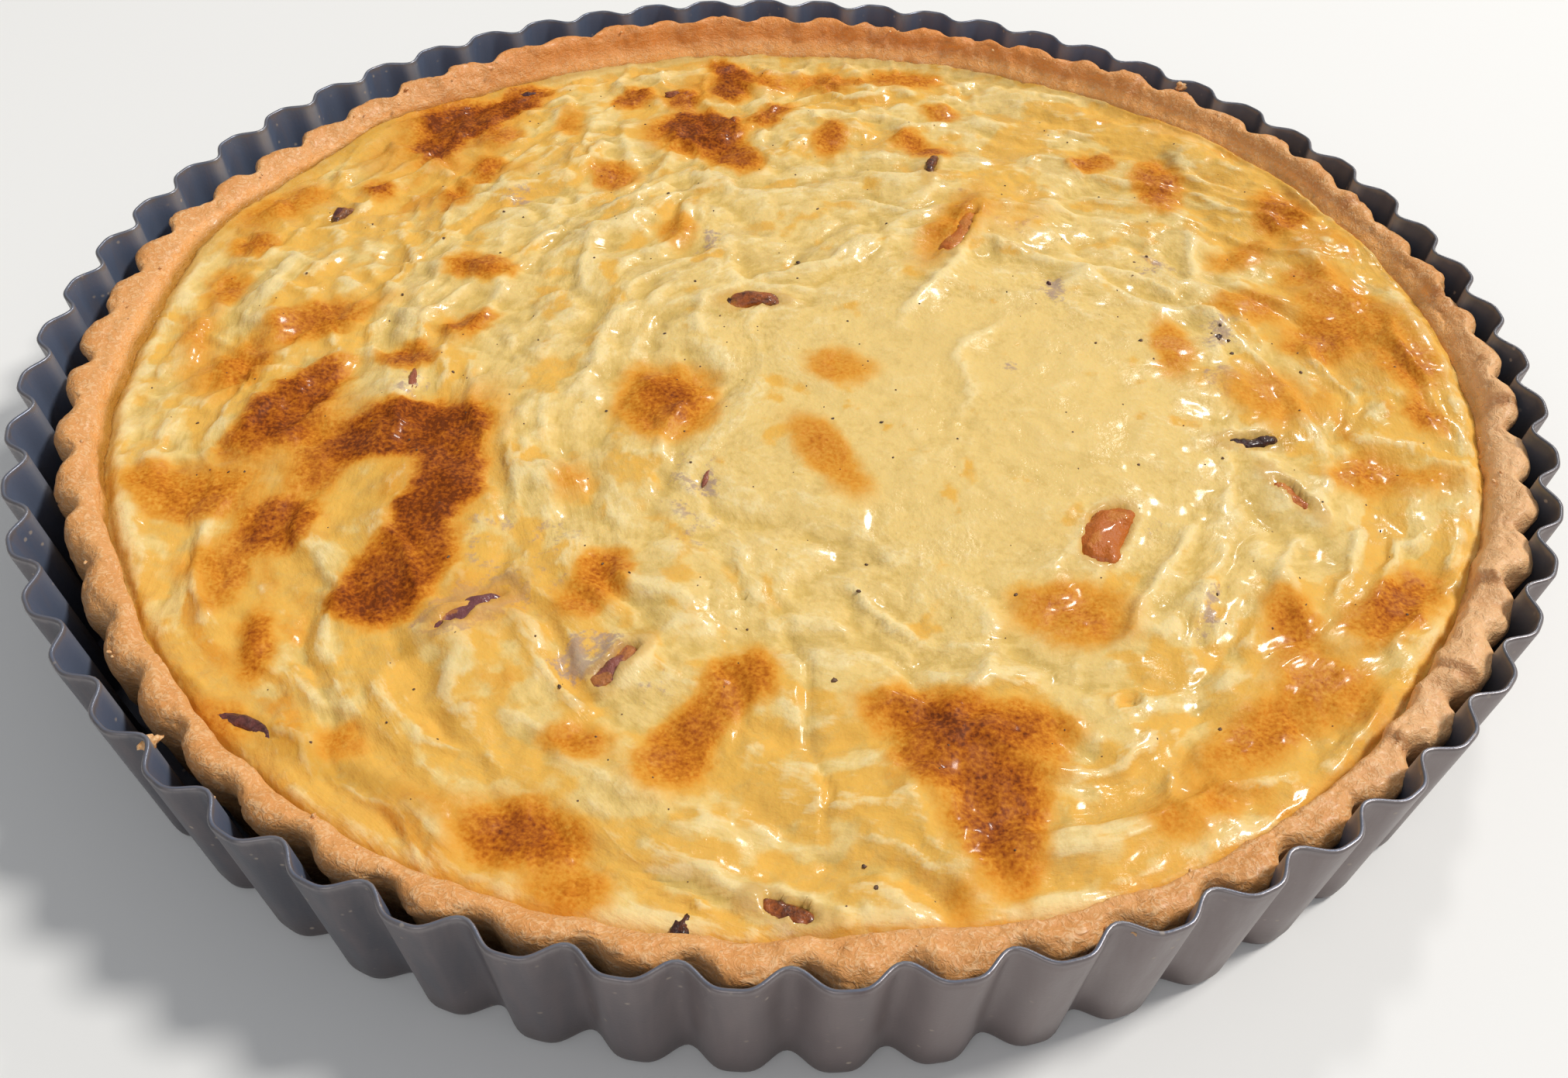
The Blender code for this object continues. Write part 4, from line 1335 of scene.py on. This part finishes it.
class QUICHE_OT_bacon(bpy.types.Operator):
    """Makes the bacon pieces, each in the place of its own node"""

    bl_idname = "quiche.bacon"
    bl_label = "Bacon"

    def execute(self, context):
        finish = bacon_finish(context.scene.quiche_bacon)
        for number, row in enumerate(BACON):
            points, streak = bacon_points(row, number)
            masks = {"streak": streak, "char": row[7] + 0 * streak, "purple": row[8] + 0 * streak}
            piece = closed_rings(f"lardon_{number + 1}", points, finish, masks)
            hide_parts(f"bacon_{number + 1}")
        return {"FINISHED"}


def scattered(name, middles, sizes, turns, material, rough, rings=5, columns=8, masks=None):
    """Many small lumps in one mesh: each is a unit ball of rings and columns times its three half sizes,
    roughened by noise, turned about Z and moved to its place."""
    middles, sizes, turns = (np.asarray(values, float) for values in (middles, sizes, turns))
    v = np.linspace(-math.pi / 2, math.pi / 2, rings + 2)[1:-1, None]
    u = np.linspace(0, 2 * math.pi, columns, endpoint=False)[None, :]
    ball = np.vstack([circled(np.cos(v), u, np.sin(v)).reshape(-1, 3), [[0, 0, -1], [0, 0, 1]]])
    count = len(middles)
    seeds = ball[None] * 1.7 + 9.1 * np.arange(count)[:, None, None]
    shapes = ball[None] * (1 + rough * NOISE(seeds, 1.1))[..., None] * sizes[:, None, :]
    points = spun(shapes, turns[:, None]) + middles[:, None, :]
    ball_faces = closed_faces(rings, columns)
    faces = [tuple(corner + n * len(ball) for corner in face) for n in range(count) for face in ball_faces]
    values = {mask: np.repeat(v, len(ball)) for mask, v in (masks or {}).items()}
    return new_piece(name, points.reshape(-1, 3), faces, material, values)


def skin_height(x, y, settings):
    """The height of the custard's skin at each place."""
    return custard_skin(np.asarray(x, float), np.asarray(y, float), settings)[0]


class QUICHE_OT_flecks(bpy.types.Operator):
    """Makes the flecks of bacon that just show through the skin, and the pepper on it"""

    bl_idname = "quiche.flecks"
    bl_label = "Flecks and pepper"

    def execute(self, context):
        custard = context.scene.quiche_custard
        rows = np.array(FLECKS, float)
        height = skin_height(rows[:, 0], rows[:, 1], custard)
        middles = np.column_stack([rows[:, :2], height - 0.25])
        sizes = np.column_stack([rows[:, 3] / 2, rows[:, 4] / 2, np.full(len(rows), 0.6)])
        masks = {"streak": 0.4 + 0 * height, "char": rows[:, 5], "purple": rows[:, 6]}
        finish = bpy.data.materials["fried_bacon"]
        turns = np.radians(rows[:, 2])
        flecks = scattered("bacon_flecks", middles, sizes, turns, finish, 0.5, 11, 18, masks)

        rng = np.random.default_rng(21)
        dust, reach = 240, 122
        radius = reach * np.sqrt(rng.uniform(0, 1, dust))
        angle = rng.uniform(0, 2 * math.pi, dust)
        x, y = np.vstack([PEPPER, circled(radius, angle)[:, :2] + CRUST_MIDDLE]).T
        size = np.concatenate([rng.uniform(0.28, 0.52, len(PEPPER)), rng.uniform(0.12, 0.26, dust)])
        middles = np.column_stack([x, y, skin_height(x, y, custard) + 0.05 * size])
        sizes = size[:, None] * rng.uniform(0.6, 1.2, (len(size), 3)) * [1, 1, 0.6]
        turns = rng.uniform(0, math.pi, len(size))
        finish = crumb_finish("ground_pepper", (0.20, 0.10, 0.05), (0.045, 0.024, 0.016), 0.6)
        scattered("pepper_specks", middles, sizes, turns, finish, 0.5, 4, 6)
        return {"FINISHED"}


class QUICHE_OT_crumbs(bpy.types.Operator):
    """Makes the crumbs along the crust's edge and on the tin"""

    bl_idname = "quiche.crumbs"
    bl_label = "Crumbs"

    def execute(self, context):
        tin, crust = context.scene.quiche_tin, context.scene.quiche_crust
        rng = np.random.default_rng(4)
        count = 70
        angle = rng.uniform(0, 2 * math.pi, count)
        wall = crust.wall_radius / MM
        out = wall - rng.uniform(0.0, 4.5, count)
        height = crust.height / MM + rim_rise(angle) - np.abs(out - wall + 2.0) * 0.35
        middles = circled(out + crust_flute(angle), angle, height) + [*CRUST_MIDDLE, 0]
        size = rng.uniform(0.15, 0.42, count)
        sizes = size[:, None] * rng.uniform(0.6, 1.2, (count, 3)) * [1, 1, 0.7]
        finish = crumb_finish("pastry_crumb", crust.pale, crust.golden)
        crumbs = scattered("crust_crumbs", middles, sizes, rng.uniform(0, math.pi, count), finish, 0.6)

        x, y, *sizes = np.transpose(TIN_CRUMBS)
        angle = np.arctan2(y, x)
        radius = (tin.rim_radius - tin.flute_depth * (1 - flute(angle)) / 2) / MM - 0.6
        middles = circled(radius, angle, TIN_TOP - 1.45)
        rim_crumbs = scattered("tin_crumbs", middles, np.transpose(sizes), angle, finish, 0.6, 9, 14)
        return {"FINISHED"}


def area_light(name, place, size, watts, tint):
    """A round light at a place, facing the quiche."""
    data = bpy.data.lights.new(name, "AREA")
    data.shape = "DISK"
    data.size = size
    data.energy = watts
    data.color = tint
    light = bpy.data.objects.new(name, data)
    light.location = place
    way = mathutils.Vector((0.0, 0.0, 0.02)) - mathutils.Vector(place)
    light.rotation_euler = way.to_track_quat("-Z", "Y").to_euler()
    bpy.context.scene.collection.objects.link(light)


class QUICHE_OT_stage(bpy.types.Operator):
    """Makes the plain floor, the lights and the camera"""

    bl_idname = "quiche.stage"
    bl_label = "Stage"

    def execute(self, context):
        settings = context.scene.quiche_stage
        half = settings.floor_width / 2
        mesh = bpy.data.meshes.new("floor")
        corners = [(-half, -half, 0), (half, -half, 0), (half, half, 0), (-half, half, 0)]
        mesh.from_pydata(corners, [], [(0, 1, 2, 3)])
        mesh.materials.append(Finish("plain_floor").done(settings.floor_color, 0.9))
        floor = bpy.data.objects.new("floor", mesh)
        context.scene.collection.objects.link(floor)

        world = bpy.data.worlds.new("studio")
        world.use_nodes = True
        background = world.node_tree.nodes["Background"]
        background.inputs["Color"].default_value = (0.97, 0.98, 1.0, 1.0)
        background.inputs["Strength"].default_value = settings.sky
        context.scene.world = world
        context.scene.view_settings.view_transform = "Standard"

        for name, place, size, share, tint in LIGHTS:
            area_light(name, place, size, settings.key_power * share, tint)

        data = bpy.data.cameras.new("camera")
        data.sensor_width = 36.0
        data.lens = settings.focal_length
        data.shift_x, data.shift_y = CAMERA_SHIFT
        data.clip_start = 0.01
        camera = bpy.data.objects.new("camera", data)
        camera.location = CAMERA_PLACE
        camera.rotation_euler = [math.radians(turn) for turn in CAMERA_TURN]
        context.scene.collection.objects.link(camera)
        context.scene.camera = camera
        return {"FINISHED"}


class QUICHE_PT_panel(bpy.types.Panel):
    """Lists the quiche's pieces and the stage"""

    bl_label = "Quiche"
    bl_space_type = "VIEW_3D"
    bl_region_type = "UI"
    bl_category = "Quiche"

    def draw(self, context):
        for name, operator in PIECES:
            box = self.layout.box()
            box.operator(operator.bl_idname)
            settings = getattr(context.scene, name, None)
            for prop in settings.bl_rna.properties if settings else ():
                if prop.identifier not in {"rna_type", "name"}:
                    box.prop(settings, prop.identifier)


PIECES = (
    ("quiche_tin", QUICHE_OT_tin),
    ("quiche_crust", QUICHE_OT_crust),
    ("quiche_custard", QUICHE_OT_custard),
    ("quiche_bacon", QUICHE_OT_bacon),
    ("", QUICHE_OT_flecks),
    ("", QUICHE_OT_crumbs),
    ("quiche_stage", QUICHE_OT_stage),
)
SETTINGS = {
    "quiche_tin": TinSettings,
    "quiche_crust": CrustSettings,
    "quiche_custard": CustardSettings,
    "quiche_bacon": BaconSettings,
    "quiche_stage": StageSettings,
}
CLASSES = (*SETTINGS.values(), *(operator for _, operator in PIECES), QUICHE_PT_panel)


def register():
    for cls in CLASSES:
        bpy.utils.register_class(cls)
    for name, group in SETTINGS.items():
        setattr(bpy.types.Scene, name, bpy.props.PointerProperty(type=group))


def unregister():
    for name in SETTINGS:
        delattr(bpy.types.Scene, name)
    for cls in reversed(CLASSES):
        bpy.utils.unregister_class(cls)


def main():
    register()
    bpy.ops.quiche.tin()
    bpy.ops.quiche.crust()
    bpy.ops.quiche.custard()
    bpy.ops.quiche.bacon()
    bpy.ops.quiche.flecks()
    bpy.ops.quiche.crumbs()
    bpy.ops.quiche.stage()


if __name__ == "__main__":
    main()
